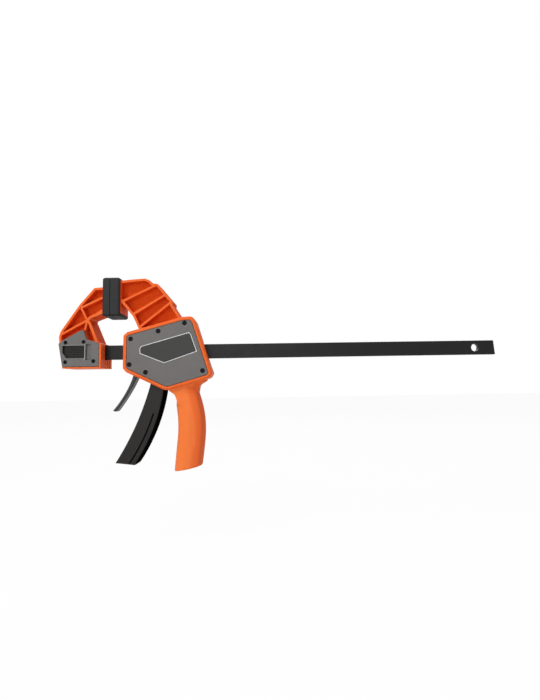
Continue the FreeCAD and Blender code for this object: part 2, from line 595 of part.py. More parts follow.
def make_fixed_jaw():
    """The fixed jaw's moulding: a base round the bar's end, and a ribbed arm up to the pad."""
    cover_line = outline("jaw_cover_line", "side", in_box(JAW_COVER_SHARES, *JAW_BOX))
    half = "jaw_depth / 2"
    right = "jaw_cover_left + jaw_cover_width + jaw_strip"
    base_points = in_box(JAW_COVER_SHARES, *JAW_BOX)
    for index in range(2):
        base_points[index] = (right, base_points[index][1])
    base = slab("jaw_base", outline("jaw_base_line", "side", base_points), half, half)
    foot_left = f"jaw_cover_left + {JAW_FOOT_SHARE} * jaw_cover_width"
    foot = box("jaw_foot_strip", (foot_left, f"-{half}", "-jaw_foot"), (right, half, "-jaw_cover_drop"))
    base_body = new_body("jaw_base_body", base)
    dress(base_body, "Chamfer", "jaw_base_bevel", "jaw_bevel", lambda edge: flat_at(edge, "Y", value(half)))
    arm_line = outline("fixed_arm_line", "side", in_box(FIXED_ARM_SHARES, *FIXED_ARM_BOX))
    ribs = [in_box(pair, *FIXED_ARM_BOX) for pair in FIXED_RIB_SHARES]
    arm = ribbed_arm("fixed_arm", arm_line, ribs)
    plate = face_plate("fixed_plate", "-fixed_pad_depth", "-(face_gap / 2 + pad_wall + fit)")
    recess_line = grown("jaw_recess_line", cover_line, "fit", "Intersection")
    recess = slab("jaw_recess", recess_line, "overrun", f"-{JAW_LEDGE}")
    slot = box("jaw_bar_slot", ("-bar_reach - fit", "-bar_thickness / 2 - fit", "-bar_height / 2 - fit"),
               ("overrun", "bar_thickness / 2 + fit", "bar_height / 2 + fit"))
    pit_half = "(button_half + sliding_fit)"
    pit = box("jaw_pit", ("button_shelf_end", "-overrun", f"-{pit_half}"),
              ("button_tail + sliding_fit * 2", "-bar_thickness / 2", pit_half))
    pit_left = "(button_left - button_skirt - button_swing)"
    pit_end = box("jaw_pit_end", (pit_left, "-overrun", f"-{pit_half}"),
                  ("button_shelf_end", "-(bar_thickness / 2 + fit + button_shelf)", pit_half))
    pit_corner = button_corner_cut("jaw_pit_corner", pit_left, f"-{pit_half}")
    shallow = without("jaw_pit_shallow", pit_end, [pit_corner])
    pin_low = "-rocker_pin_length / 2 - fit"
    pin_hole = rod("jaw_pin_hole", "z", ("rocker_pivot", "-rocker_pivot_front", pin_low),
                   "rocker_pin + fit / 2", "rocker_pin_length + fit * 2")
    cuts = [recess, slot, pit, shallow, pin_hole]
    for index in range(FOOT_GROOVES):
        middle = f"({index} - 0.5) * foot_groove_pitch"
        cuts.append(box(f"jaw_foot_groove_{index}",
                        (f"{right} - foot_groove", f"{middle} - foot_groove_width / 2", "-overrun"),
                        (f"{right} + overrun", f"{middle} + foot_groove_width / 2", "overrun")))
    cuts += pilot_holes("jaw_pilot", in_box(JAW_SCREW_SHARES, *JAW_BOX), JAW_LEDGE)
    solid = joined("jaw_solid", [base_body, foot, plate] + arm)
    keep("fixed_jaw_frame", without("fixed_jaw_shape", solid, cuts))


def make_pad(node, depth, direction):
    """A rubber cap, open at its back, with rounded edges except at the face that grips."""
    near = f"{direction} * face_gap / 2"
    far = f"{direction} * {depth}"
    body = new_body(node + "_body")
    plan = body_sketch(body, node + "_plan", "plan", "pad_bottom")
    half = "pad_width / 2"
    draw(plan, [(near, f"-{half}"), (far, f"-{half}"), (far, half), (near, half)])
    pad(body, node + "_pad", plan, "pad_height")
    dress(body, "Fillet", node + "_upright", "pad_round",
          lambda edge: runs_along(edge, "Z") and flat_at(edge, "X", value(far)))
    low = value("pad_bottom")
    high = value("pad_bottom + pad_height")
    dress(body, "Chamfer", node + "_edges", "pad_edge",
          lambda edge: ((flat_at(edge, "Z", low) or flat_at(edge, "Z", high))
                        and not flat_at(edge, "X", value(near))))
    side = "(pad_width / 2 - pad_wall)"
    ends = [f"{direction} * (face_gap / 2 + pad_wall)", f"{direction} * ({depth} + overrun)"]
    ends.sort(key=value)
    hollow = box(node + "_hollow", (ends[0], f"-{side}", "pad_bottom + pad_sole"),
                 (ends[1], side, "pad_bottom + pad_height - pad_wall"))
    keep(node, without(node + "_shape", body, [hollow]))


def cover_plate(name, line, front):
    """A cover: its outline less a little, with a bevelled front edge."""
    plate = slab(name + "_plate", grown(name + "_edge", line, "-fit"), front, f"cover_thickness - {front}")
    body = new_body(name + "_body", plate)
    dress(body, "Chamfer", name + "_bevel", "cover_edge", lambda edge: flat_at(edge, "Y", -value(front)))
    return body


def button_corner_cut(name, left, low, ahead="overrun", behind="overrun"):
    """The wedge that the rocker's lower left corner lacks, or its window's or pit's corner."""
    line = outline(name + "_line", "side", [
        (f"{left} - overrun", f"{low} - {CORNER_SLOPE} * overrun"),
        (f"{left} + button_corner + overrun", f"{low} - {CORNER_SLOPE} * overrun"),
        (f"{left} - overrun", f"{low} + {CORNER_SLOPE} * (button_corner + overrun)")])
    return slab(name, line, ahead, behind)


def make_jaw_cover():
    """The grey cover of the fixed jaw, with the rocker's window and a finger scoop beside it."""
    line = outline("jaw_cover_plate_line", "side", in_box(JAW_COVER_SHARES, *JAW_BOX))
    plate = cover_plate("jaw_cover", line, JAW_FRONT)
    half = "(button_half + sliding_fit)"
    left = "(button_left - button_gap)"
    right = "button_right + sliding_fit"
    window = without("jaw_window", box("jaw_window_box", (left, "-overrun", f"-{half}"), (right, "0", half)),
                     [button_corner_cut("jaw_window_corner", left, f"-{half}")])
    top = f"-{JAW_FRONT} - lip_height"
    lips = [box("jaw_lip_right", (right, top, "-scoop_half"), ("scoop_left", f"-{JAW_LEDGE}", "scoop_half")),
            box("jaw_lip_above", (left, top, half), ("scoop_left", f"-{JAW_LEDGE}", f"{half} + lip_width")),
            box("jaw_lip_below", (f"{left} + button_corner", top, f"-{half} - lip_width"),
                ("scoop_left", f"-{JAW_LEDGE}", f"-{half}"))]
    low_end = ("scoop_left", f"scoop_depth - scoop_radius - {JAW_FRONT}", "-scoop_half")
    round_cut = rod("jaw_scoop_round", "z", low_end, "scoop_radius", "scoop_half * 2")
    side_cut = box("jaw_scoop_side", ("scoop_left", "-overrun", "-scoop_half"), ("0", "0", "scoop_half"))
    scoop = shared("jaw_scoop", round_cut, side_cut)
    spots = in_box(JAW_SCREW_SHARES, *JAW_BOX)
    holes = screw_holes("jaw_cover", spots, JAW_FRONT, "small_screw_head")
    scooped = without("jaw_cover_scooped", plate, [scoop])
    whole = joined("jaw_cover_whole", [scooped] + lips)
    keep("fixed_jaw_cover", without("jaw_cover_shape", whole, [window] + holes))
    screw_set("fixed_jaw_screws", spots, JAW_FRONT, "small_screw_head")


def make_button():
    """The rocker: a ribbed thumb face at one end, and a tail that carries the lock pin."""
    body = new_body("button_body")
    plan = body_sketch(body, "button_plan", "plan", "-button_half")
    draw(plan, [
        ("button_left", "-button_face"), ("button_right", "-button_face"),
        ("button_right", "-button_step"), ("button_tail", "-button_step"),
        ("button_tail", "-button_floor"), ("rocker_pivot + rocker_boss", "-button_floor"),
        ("rocker_pivot", "rocker_boss - rocker_pivot_front", "rocker_pivot - rocker_boss", "-button_floor"),
        ("button_left", "-button_floor"), ("button_left", "-button_skirt_back"),
        ("button_left - button_skirt", "-button_skirt_back"),
        ("button_left - button_skirt", "-button_skirt_front"), ("button_left", "-button_skirt_front")])
    pad(body, "button_pad", plan, "button_half * 2")
    grooves = body_sketch(body, "button_groove", "side", "button_face")
    low = f"-{(GROOVES - 1) / 2} * button_rib_pitch - button_rib_width / 2"
    draw(grooves, [("button_left - overrun", low), ("button_right + overrun", low),
                   ("button_right + overrun", f"{low} + button_rib_width"),
                   ("button_left - overrun", f"{low} + button_rib_width")])
    groove = pocket(body, "button_groove_cut", grooves, "button_rib_depth")
    row = body.newObject("PartDesign::LinearPattern", "button_grooves")
    row.Originals = [groove]
    row.Direction = (grooves, ["V_Axis"])
    row.Mode = "Spacing"
    row.Occurrences = GROOVES
    bind(row, "Offset", "button_rib_pitch")
    body.Tip = row
    doc.recompute()
    pin = rod("button_pin_hole", "z", ("rocker_pivot", "-rocker_pivot_front", "-overrun"),
              "rocker_pin + pin_fit", "overrun * 2")
    lock = rod("button_lock_hole", "y", (LOCK_X, "-lock_seat", "0"), "lock_radius + fit / 2", "overrun")
    socket = "-button_floor - button_spring_socket"
    spring = rod("button_spring_hole", "y", ("button_spring_place", socket, "0"),
                 "button_spring_radius + button_spring_wire + fit", "overrun")
    corner = button_corner_cut("button_corner_face", "button_left", "-button_half",
                               "overrun", "-button_skirt_front")
    step = button_corner_cut("button_corner_step", "(button_left - button_skirt)", "-button_half",
                             "button_skirt_front", "overrun")
    keep("jaw_release_button", without("button_shape", body, [pin, lock, spring, corner, step]))


def make_lock_pin():
    """The steel pin of the rocker, with its narrower tip in the bar's hole."""
    length = "lock_seat - bar_thickness / 2"
    shank = rod("lock_shank", "y", (LOCK_X, "-lock_seat", "0"), "lock_radius", length)
    tip = rod("lock_point", "y", (LOCK_X, "-bar_thickness / 2", "0"), "lock_tip", "lock_depth")
    keep("jaw_lock_pin", joined("lock_pin", [shank, tip]))


def make_button_pin():
    """The pin that the rocker turns on."""
    start = ("rocker_pivot", "-rocker_pivot_front", "-rocker_pin_length / 2")
    keep("button_pivot_pin", rod("button_pin", "z", start, "rocker_pin", "rocker_pin_length"))


def sleeve(node, axis, start, radius, wire, length):
    """A coil spring's room: a sleeve as thick as its wire, from a point along an axis."""
    outside = rod(node + "_outside", axis, start, f"{radius} + {wire}", length)
    inside = rod(node + "_inside", axis, start, f"{radius} - {wire}", length)
    keep(node, without(node + "_sleeve", outside, [inside]))


def make_button_spring():
    """The small spring that lifts the rocker's pressed end."""
    reach = "(button_floor + button_spring_socket - pin_fit)"
    base = "(bar_thickness / 2 + fit + button_shelf + pin_fit)"
    sleeve("button_spring", "y", ("button_spring_place", f"-{reach}", "0"), "button_spring_radius",
           "button_spring_wire", f"{reach} - {base}")


def make_grip():
    """The pistol grip: a loft through sections with two flats to a corner, cut off at a slant."""
    left, bottom, width, height = GRIP_BOX
    sections = []
    for index, (down, near, far, side) in enumerate(GRIP_SECTION_SHARES):
        start = f"({left} + {near} * {width})"
        end = f"({left} + {far} * {width})"
        across = f"({side} * grip_half)"
        corner = f"({GRIP_CORNER_SHARE} * {far - near:.3f} * {width})"
        bend = f"({ARC_SHARE} * {corner})"
        points = [
            (start, f"{corner} - {across}"), (f"{start} + {bend}", f"{bend} - {across}"),
            (f"{start} + {corner}", f"-{across}"), (f"{end} - {corner}", f"-{across}"),
            (f"{end} - {bend}", f"{bend} - {across}"), (end, f"{corner} - {across}"),
            (end, f"{across} - {corner}"), (f"{end} - {bend}", f"{across} - {bend}"),
            (f"{end} - {corner}", across), (f"{start} + {corner}", across),
            (f"{start} + {bend}", f"{across} - {bend}"), (start, f"{across} - {corner}")]
        sections.append(outline(f"grip_section_{index}", "plan", points, f"{bottom} + {down} * ({height})"))
    loft = doc.addObject("Part::Loft", "grip_loft")
    loft.Sections = sections
    loft.MaxDegree = 2
    loft.Solid = True
    low = "(grip_trim - grip_top - grip_length)"
    slant = slab("grip_slant", outline("grip_slant_line", "side", [
        (f"{left} - overrun", f"{low} - overrun"), (f"{left} + 2 * overrun", f"{low} - overrun"),
        (f"{left} + 2 * overrun", f"{low} + {SLANT_SHARE} * (2 * overrun - 0.16 * {width})"),
        (f"{left} - overrun", f"{low} - {SLANT_SHARE} * (overrun + 0.16 * {width})")]), "overrun", "overrun")
    panel = outline("grip_panel_line", "side", in_box(GRIP_PANEL_SHARES, *GRIP_BOX))
    sunk = "grip_panel - grip_half"
    panels = [slab("grip_panel_front", panel, "overrun", sunk),
              slab("grip_panel_back", panel, sunk, "overrun")]
    return without("grip_shape", loft, [slant] + panels)


def neck_webs():
    """The webs in the corners between the grip and the housing."""
    neck = outline("neck_line", "side", in_box(NECK_SHARES, *BODY_BOX))
    heel = outline("heel_line", "side", in_box(HEEL_SHARES, *BODY_BOX))
    return [slab("neck_web", neck, "neck_half", "neck_half"),
            slab("heel_web", heel, "heel_half", "heel_half")]


def body_inside_parts():
    """What stays of the moulding inside the cavity: bosses, the brake's notch and its spring's web."""
    inside = []
    for index, (x, z) in enumerate(in_box(BODY_SCREW_SHARES, *BODY_BOX)):
        inside.append(rod(f"body_boss_{index}", "y", (x, f"-{BODY_LEDGE}", z), "boss_radius", "body_depth"))
    start = (PIVOT_X, "trigger_width / 2 + sliding_fit", "trigger_pivot_height")
    inside.append(rod("body_pin_boss", "y", start, "trigger_eye", "body_depth"))
    spring_half = "(brake_spring_radius + brake_spring_wire)"
    inside.append(box("body_web", (BRAKE_WEB_X, f"-{spring_half} * 2", f"-brake_spring_drop - {spring_half}"),
                      (f"{BRAKE_WEB_X} + brake_web", "body_depth", f"{spring_half} - brake_spring_drop")))
    notch_half = "(brake_thickness / 2 + 3 * sliding_fit)"
    low = "brake_pivot_height - brake_seat"
    notch = box("body_notch_block", (f"{BRAKE_X} - {notch_half} * 2", "-brake_half", low),
                (f"{BRAKE_X} + {notch_half} * 2", "body_depth", "overrun"))
    roof = "brake_pivot_height + sliding_fit * 2"
    groove = box("body_notch", (f"{BRAKE_X} - {notch_half}", "-overrun", "0"),
                 (f"{BRAKE_X} + {notch_half}", "brake_half + sliding_fit", roof))
    inside.append(without("body_brake_notch", notch, [groove]))
    return inside


def slot_below(name, shares, half):
    """A slot through the housing's lower wall, between its front and back walls."""
    return slab(name, outline(name + "_line", "side", in_box(shares, *BODY_BOX)), half, half)


def body_openings():
    """The bar's way through the housing, the slots for the trigger and lever, and the pin's hole."""
    side = f"({BAR_SIDE} + guide_wall + fit)"
    edge = f"({BAR_EDGE} + guide_wall + fit)"
    way = box("body_bar_way", ("0", f"-{side}", f"-{edge}"), ("overrun * 3", side, edge))
    lever = slot_below("body_lever_slot", LEVER_SLOT_SHARES, "lever_half + sliding_fit")
    trigger = slot_below("body_trigger_slot", TRIGGER_SLOT_SHARES, "trigger_width / 2 + sliding_fit")
    pin = rod("body_pin_hole", "y", (PIVOT_X, "0", "trigger_pivot_height"), "trigger_pin_radius + fit / 2",
              f"{BODY_BACK} + back_wall / 2")
    return [way, lever, trigger, pin]


def make_housing():
    """The housing of the moving jaw: a hollow shell with a ribbed arm above it and a grip below."""
    cover_line = outline("body_cover_line", "side", in_box(BODY_COVER_SHARES, *BODY_BOX))
    half = "body_depth / 2"
    front = slab("body_front", grown("body_rim_line", cover_line, "body_rim"), half, "0")
    rear_line = outline("body_rear_line", "side", in_box(BODY_REAR_SHARES, *BODY_BOX), f"-({half})")
    rear = doc.addObject("Part::Loft", "body_rear")
    rear.Sections = [front.Base, grown("body_rear_rim_line", rear_line, "body_rim")]
    rear.Ruled = True
    rear.Solid = True
    block = joined("body_block", [front, rear])
    body = new_body("body_block_body", block)
    dress(body, "Chamfer", "body_bevels", "body_bevel",
          lambda edge: flat_at(edge, "Y", value(half)) or flat_at(edge, "Y", -value(half)))
    arm_line = outline("moving_arm_line", "side", in_box(MOVING_ARM_SHARES, *MOVING_ARM_BOX))
    ribs = [in_box(pair, *MOVING_ARM_BOX) for pair in MOVING_RIB_SHARES]
    arm = ribbed_arm("moving_arm", arm_line, ribs)
    plate = face_plate("moving_plate", "face_gap / 2 + pad_wall + fit", "moving_pad_depth")
    solid = joined("body_solid", [body, plate, make_grip()] + neck_webs() + arm)
    recess_line = grown("body_recess_line", cover_line, "fit", "Intersection")
    recess = slab("body_recess", recess_line, "overrun", f"-{BODY_LEDGE}")
    cavity_line = grown("body_cavity_line", cover_line, "-cover_ledge", "Intersection")
    cavity = slab("body_cavity", cavity_line, "overrun", BODY_BACK)
    cuts = [recess, without("body_hollow", cavity, body_inside_parts())] + body_openings()
    cuts += pilot_holes("body_pilot", in_box(BODY_SCREW_SHARES, *BODY_BOX), BODY_LEDGE)
    keep("housing", without("housing_shape", solid, cuts))


def make_body_cover():
    """The grey cover of the housing, with its screws and the label plate."""
    line = outline("body_cover_plate_line", "side", in_box(BODY_COVER_SHARES, *BODY_BOX))
    plate = cover_plate("body_cover", line, BODY_FRONT)
    label = outline("label_line", "side", in_box(LABEL_SHARES, *BODY_BOX))
    bed_line = grown("label_bed_line", label, "fit", "Intersection")
    bed = slab("label_bed", bed_line, "overrun", f"label_sink - {BODY_FRONT}")
    spots = in_box(BODY_SCREW_SHARES, *BODY_BOX)
    pin = rod("cover_pin_hole", "y", (PIVOT_X, f"cover_thickness / 2 - {BODY_FRONT}", "trigger_pivot_height"),
              "trigger_pin_radius + fit / 2", "cover_thickness")
    holes = screw_holes("body_cover", spots, BODY_FRONT, "screw_head")
    keep("body_cover", without("body_cover_shape", plate, [bed, pin] + holes))
    screw_set("body_cover_screws", spots, BODY_FRONT, "screw_head")
    top = f"({BODY_FRONT} - label_sink + label_thickness)"
    whole = slab("label_slab", label, top, f"label_sink - {BODY_FRONT}")
    field_line = grown("label_field_line", label, "-label_border", "Intersection")
    field = slab("label_field", field_line, "overrun", f"label_relief - {top}")
    keep("label_plate", without("label_shape", whole, [field]))


def make_guides():
    """The two bushes that the bar slides in, one in each side wall of the housing."""
    wall = "cover_left + cover_ledge"
    inner = f"{REAR_GUIDE_IN} - guide_flange"
    ends = [("front_bar_guide", "cover_left - body_rim + fit", wall, wall, f"{wall} + guide_flange"),
            ("rear_bar_guide", REAR_GUIDE_IN, REAR_GUIDE_OUT, inner, REAR_GUIDE_IN)]
    for node, tube_low, tube_high, flange_low, flange_high in ends:
        tube = box(node + "_tube", (tube_low, f"-{BAR_SIDE} - guide_wall", f"-{BAR_EDGE} - guide_wall"),
                   (tube_high, f"{BAR_SIDE} + guide_wall", f"{BAR_EDGE} + guide_wall"))
        flange = box(node + "_flange", (flange_low, f"-{BAR_SIDE} - guide_rim", f"-{BAR_EDGE} - guide_wall"),
                     (flange_high, f"{BAR_SIDE} + guide_rim", f"{BAR_EDGE} + guide_wall"))
        keep(node, without(node + "_shape", joined(node + "_whole", [tube, flange]), [bar_way(node)]))


def bar_way(name):
    """The bar's section with its running gap, as long as the housing."""
    return box(name + "_bar_way", ("0", f"-{BAR_SIDE}", f"-{BAR_EDGE}"), ("overrun * 3", BAR_SIDE, BAR_EDGE))


def make_trigger():
    """The trigger: a curved solid lever below, and two cheeks beside the bar up to the pin."""
    half = "trigger_width / 2"
    lower_line = outline("trigger_line", "side", in_box(TRIGGER_SHARES, *TRIGGER_BOX))
    lower = slab("trigger_lower", lower_line, half, half)
    body = new_body("trigger_lower_body", lower)
    dress(body, "Chamfer", "trigger_bevels", "trigger_bevel",
          lambda edge: flat_at(edge, "Y", value(half)) or flat_at(edge, "Y", -value(half)))
    centre = (PIVOT_X, f"-{half}", "trigger_pivot_height")
    eye = rod("trigger_eye_rod", "y", centre, "trigger_eye", "trigger_width")
    nose = rod("trigger_nose", "y", (NOSE_X, f"-{half}", "-nose_drop"), "nose_radius", "trigger_width")
    fork_line = outline("trigger_fork_line", "side", in_box(FORK_SHARES, *TRIGGER_BOX))
    fork = slab("trigger_fork", fork_line, half, half)
    gap = box("trigger_gap", ("0", "-trigger_cheek", "-trigger_top"),
              ("overrun * 3", "trigger_cheek", "overrun"))
    pin = rod("trigger_pin_way", "y", (PIVOT_X, "-overrun", "trigger_pivot_height"),
              "trigger_pin_radius + pin_fit", "overrun * 2")
    line = outline("trigger_groove_line", "side", in_box(GROOVE_SHARES, *TRIGGER_BOX))
    grooves = [slab("trigger_groove_front", line, "overrun", f"trigger_groove - {half}"),
               slab("trigger_groove_back", line, f"trigger_groove - {half}", "overrun")]
    whole = joined("trigger_whole", [body, eye, nose, fork])
    keep("trigger", without("trigger_shape", whole, [gap, pin] + grooves))


def make_trigger_pin():
    """The pin above the bar that the trigger turns on, held by the back wall and the cover."""
    front = f"({BODY_FRONT} - cover_thickness / 2 - fit)"
    keep("trigger_pin", rod("trigger_pin_rod", "y", (PIVOT_X, f"-{front}", "trigger_pivot_height"),
                            "trigger_pin_radius", f"{front} + {BODY_BACK} + back_wall / 2 - fit"))


def make_drive_plates():
    """The two steel plates round the bar that the trigger's nose pushes."""
    plates = []
    for index in range(2):
        start = f"{PLATES_X} + {index} * (plate_thickness + plate_gap)"
        plate = box(f"drive_plate_{index}", (start, "-plate_half", "-plate_drop"),
                    (f"{start} + plate_thickness", "plate_half", "plate_rise"))
        plates.append(without(f"drive_plate_cut_{index}", plate, [bar_way(f"drive_plate_{index}")]))
    keep("drive_plates", group("drive_plates_group", plates))


def make_drive_spring():
    """The coil spring round the bar behind the drive plates, and its washer."""
    start = f"({PLATES_X} + 2 * plate_thickness + 2 * plate_gap)"
    seat = f"({REAR_GUIDE_IN} - guide_flange - fit - washer_thickness)"
    length = f"{seat} - sliding_fit - {start}"
    sleeve("drive_spring", "x", (start, "0", "0"), "spring_radius", "spring_wire", length)
    half = "(spring_radius + spring_wire * 2)"
    plate = box("washer_plate", (seat, f"-{half}", f"-{half}"), (f"{seat} + washer_thickness", half, half))
    keep("drive_washer", without("washer_shape", plate, [bar_way("washer")]))


def leaning_box(name, low, high):
    """A box hung from the brake plate's pivot, with two corners, turned by the plate's lean."""
    shape = doc.addObject("Part::Box", name)
    shape.Placement = FreeCAD.Placement(FreeCAD.Vector(), FreeCAD.Rotation(FreeCAD.Vector(0, 1, 0), 1))
    bind(shape, "Placement.Rotation.Angle", "brake_tilt")
    place(shape, f"{BRAKE_X} + ({low[0]}) * cos(brake_tilt) + ({low[2]}) * sin(brake_tilt)", low[1],
          f"brake_pivot_height - ({low[0]}) * sin(brake_tilt) + ({low[2]}) * cos(brake_tilt)")
    for side, start, end in zip(("Length", "Width", "Height"), low, high):
        bind(shape, side, f"({end}) - ({start})")
    return shape


def make_brake():
    """The brake plate, which leans on the bar, and the release lever on its lower tongue."""
    half = "brake_thickness / 2"
    blade = leaning_box("brake_blade", (f"-{half}", "-brake_half", "-brake_blade"), (half, "brake_half", "0"))
    tongue = leaning_box("brake_tail", (f"-{half}", "-brake_tongue", "-brake_length"),
                         (half, "brake_tongue", "0"))
    middle = "-brake_pivot_height / cos(brake_tilt)"
    hole = leaning_box("brake_window", ("-overrun", f"-{BAR_SIDE}", f"{middle} - brake_hole / 2"),
                       ("overrun", BAR_SIDE, f"{middle} + brake_hole / 2"))
    keep("brake_plate", without("brake_plate_shape", joined("brake_whole", [blade, tongue]), [hole]))
    line = outline("lever_line", "side", in_box(LEVER_SHARES, *LEVER_BOX))
    lever = slab("lever_slab", line, "lever_half", "lever_half")
    body = new_body("lever_body", lever)
    dress(body, "Chamfer", "lever_bevels", "lever_bevel",
          lambda edge: flat_at(edge, "Y", value("lever_half")) or flat_at(edge, "Y", -value("lever_half")))
    seat = leaning_box("lever_seat", (f"-{half} - fit", "-brake_tongue - fit", "-brake_length - fit"),
                       (f"{half} + fit", "brake_tongue + fit", "overrun"))
    keep("release_lever", without("lever_shape", body, [seat]))
    lean = "(brake_pivot_height + brake_spring_drop - brake_spring_radius) * tan(brake_tilt)"
    start = f"({BRAKE_X} + {half} + sliding_fit - {lean})"
    length = f"{BRAKE_WEB_X} - sliding_fit - {start}"
    sleeve("brake_spring", "x", (start, "0", "-brake_spring_drop"), "brake_spring_radius",
           "brake_spring_wire", length)


def check_all():
    """Stop if anything failed to build."""
    doc.recompute()
    failed = [thing.Name for thing in doc.Objects if "Invalid" in thing.State or "Error" in thing.State]
    for node, thing in NODES.items():
        if thing.Shape.isNull() or not thing.Shape.isValid() or not thing.Shape.Solids:
            failed.append(node)
    if failed:
        raise RuntimeError("did not build: " + ", ".join(failed))


def write_all():
    """Write each piece to its own file."""
    os.makedirs("parts", exist_ok=True)
    for node, thing in NODES.items():
        thing.Shape.exportStep(f"parts/{node}.step")
        extent = thing.Shape.BoundBox
        print(node, len(thing.Shape.Solids), extent)


fill_sheet()
make_bar()
make_fixed_jaw()
make_pad("fixed_jaw_pad", "fixed_pad_depth", "-1")
make_jaw_cover()
make_button()
make_lock_pin()
make_button_pin()
make_button_spring()
make_housing()
make_body_cover()
make_pad("moving_jaw_pad", "moving_pad_depth", "1")
make_guides()
make_trigger()
make_trigger_pin()
make_drive_plates()
make_drive_spring()
make_brake()
check_all()
write_all()
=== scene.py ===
import json
import math

import bmesh
import bpy
from mathutils import Matrix, Vector
from mathutils.bvhtree import BVHTree
from mathutils.kdtree import KDTree


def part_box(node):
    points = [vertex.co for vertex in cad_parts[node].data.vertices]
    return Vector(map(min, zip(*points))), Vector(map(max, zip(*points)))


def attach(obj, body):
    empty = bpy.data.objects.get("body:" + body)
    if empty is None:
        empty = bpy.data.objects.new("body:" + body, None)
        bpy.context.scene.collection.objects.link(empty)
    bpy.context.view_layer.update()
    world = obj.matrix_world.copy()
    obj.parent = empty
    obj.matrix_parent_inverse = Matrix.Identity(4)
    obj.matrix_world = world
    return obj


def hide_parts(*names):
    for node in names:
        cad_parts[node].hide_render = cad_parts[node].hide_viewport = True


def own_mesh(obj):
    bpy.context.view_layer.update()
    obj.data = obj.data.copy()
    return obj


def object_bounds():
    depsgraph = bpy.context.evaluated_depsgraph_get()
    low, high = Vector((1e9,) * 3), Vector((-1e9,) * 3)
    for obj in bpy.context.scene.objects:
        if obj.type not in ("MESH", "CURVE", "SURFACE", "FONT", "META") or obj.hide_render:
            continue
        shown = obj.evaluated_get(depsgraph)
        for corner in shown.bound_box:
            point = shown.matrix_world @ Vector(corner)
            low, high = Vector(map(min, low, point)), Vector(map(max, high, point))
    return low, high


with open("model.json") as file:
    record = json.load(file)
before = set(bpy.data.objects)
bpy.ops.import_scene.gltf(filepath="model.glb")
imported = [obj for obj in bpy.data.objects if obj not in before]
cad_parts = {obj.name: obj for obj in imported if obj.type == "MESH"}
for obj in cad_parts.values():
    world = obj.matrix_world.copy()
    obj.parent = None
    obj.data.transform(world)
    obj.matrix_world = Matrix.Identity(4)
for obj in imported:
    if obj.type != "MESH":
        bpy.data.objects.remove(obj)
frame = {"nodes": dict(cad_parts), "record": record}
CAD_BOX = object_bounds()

bl_info = {
    "name": "Quick release bar clamp",
    "version": (1, 0, 0),
    "blender": (4, 5, 0),
    "location": "3D View > Sidebar > Clamp",
    "description": "Builds the look of a one-handed bar clamp round its packed parts",
    "category": "Object",
}

WHITE = (1.0, 1.0, 1.0, 1.0)
MM = 0.001

# Finishes: the shares of the noise at which a moulding's clouds start and end
CLOUD_LOW = 0.3
CLOUD_HIGH = 0.7
# How much duller or glossier than its material a moulding's clouds, the grip's rear and front are
GLOSS_SPREAD = 0.05
REAR_DULLER = 0.06
FRONT_GLOSSIER = 0.04
PLASTIC_IOR = 1.53
FILM_IOR = 1.57
RUBBER_IOR = 1.5
# Sizes and depths of the patterns, in real millimetres
CLOUD_MM = 22.0
GRIP_CLOUD_MM = 18.0
GRIP_GRAIN_MM = 0.6
RUBBER_CLOUD_MM = 9.0
PEBBLE_MM = 0.7
PEBBLE_DEPTH_MM = 0.05
OXIDE_PATCH_MM = 16.0
OXIDE_LINE_MM = 1 / 2.2
FILM_LINE_MM = 0.5
PLATE_LINE_MM = 0.35
PIN_LINE_MM = 0.3
WIRE_LINE_MM = 0.2
GRAIN_DEPTH_MM = 0.02
SCRATCH_DEPTH_MM = 0.02
NYLON_GRAIN_MM = 0.45
ABS_GRAIN_MM = 0.35
FINE_GRAIN_MM = 0.4
FILM_GRAIN_MM = 0.3
SHADED_REAR_GRAIN_MM = 0.6
# How much a steel's pattern is squeezed along each axis, so that its lines run the other way
DRAWN_LINES = (0.03, 1.0, 1.0)
BRUSHED_LINES = (0.05, 1.0, 1.0)
UPRIGHT_LINES = (1.0, 1.0, 0.06)
ACROSS_LINES = (1.0, 0.06, 1.0)
EVEN_LINES = (1.0, 1.0, 1.0)

# Meshes: corners nearer than these are one, and faces flatter than this angle are one face
MERGE_GAP = 0.002 * MM
CUT_GAP = 0.001 * MM
FLAT_ANGLE = 0.6
# An edge that turns more than these degrees is rounded, or stays sharp in the shading
EASED_ANGLE = 28.0
SHARP_ANGLE = 34.0
COIL_SHARP_ANGLE = 50.0
GRIP_SHARP_ANGLE = 60.0
# A rounding has folded where it turns against the surface or stands this many widths off it
TINY_FACE = 0.001 * MM * MM
FOLD_TURN = -0.1
FOLD_WIDTHS = 0.8
# Widths round a folded place within which edges are rounded less, how that grows with each try,
# the steps along an edge, in widths, and how many tries halve the rounding or are made in all
SHARPER_WIDTHS = 0.8
SHARPER_GROWTH = 0.15
LINE_STEP = 0.5
LINE_STEPS = 60
HALVING_TRIES = 2
ROUNDING_TRIES = 8

# The housing's sloping lower wall. The housing's mesh ends a little below it, and the grip's skin
# starts nearer to it, inside the housing's mesh
WALL_START = Vector((68.8, 0, -44.8)) * MM
WALL_SLOPE = Vector((-0.294, 0, 1)).normalized()
HOUSING_CUT = 0.8 * MM
GRIP_CUT = 0.3 * MM
# The grip's skin: the remesh's step, and how much it is smoothed below the wall, round the
# trigger's slot, which lies ahead of and above one point, and above the foot
GRIP_STEP = 0.7 * MM
SKIN_PASSES = 30
SKIN_FACTOR = 0.5
SKIN_START = 1.2 * MM
SKIN_RAMP = 2.5 * MM
SLOT_END = Vector((82.0, 0, -61.0)) * MM
SLOT_SOFTNESS = 0.2
FOOT_START = 2.0 * MM
FOOT_RAMP = 7.0 * MM
FOOT_SOFTNESS = 0.12
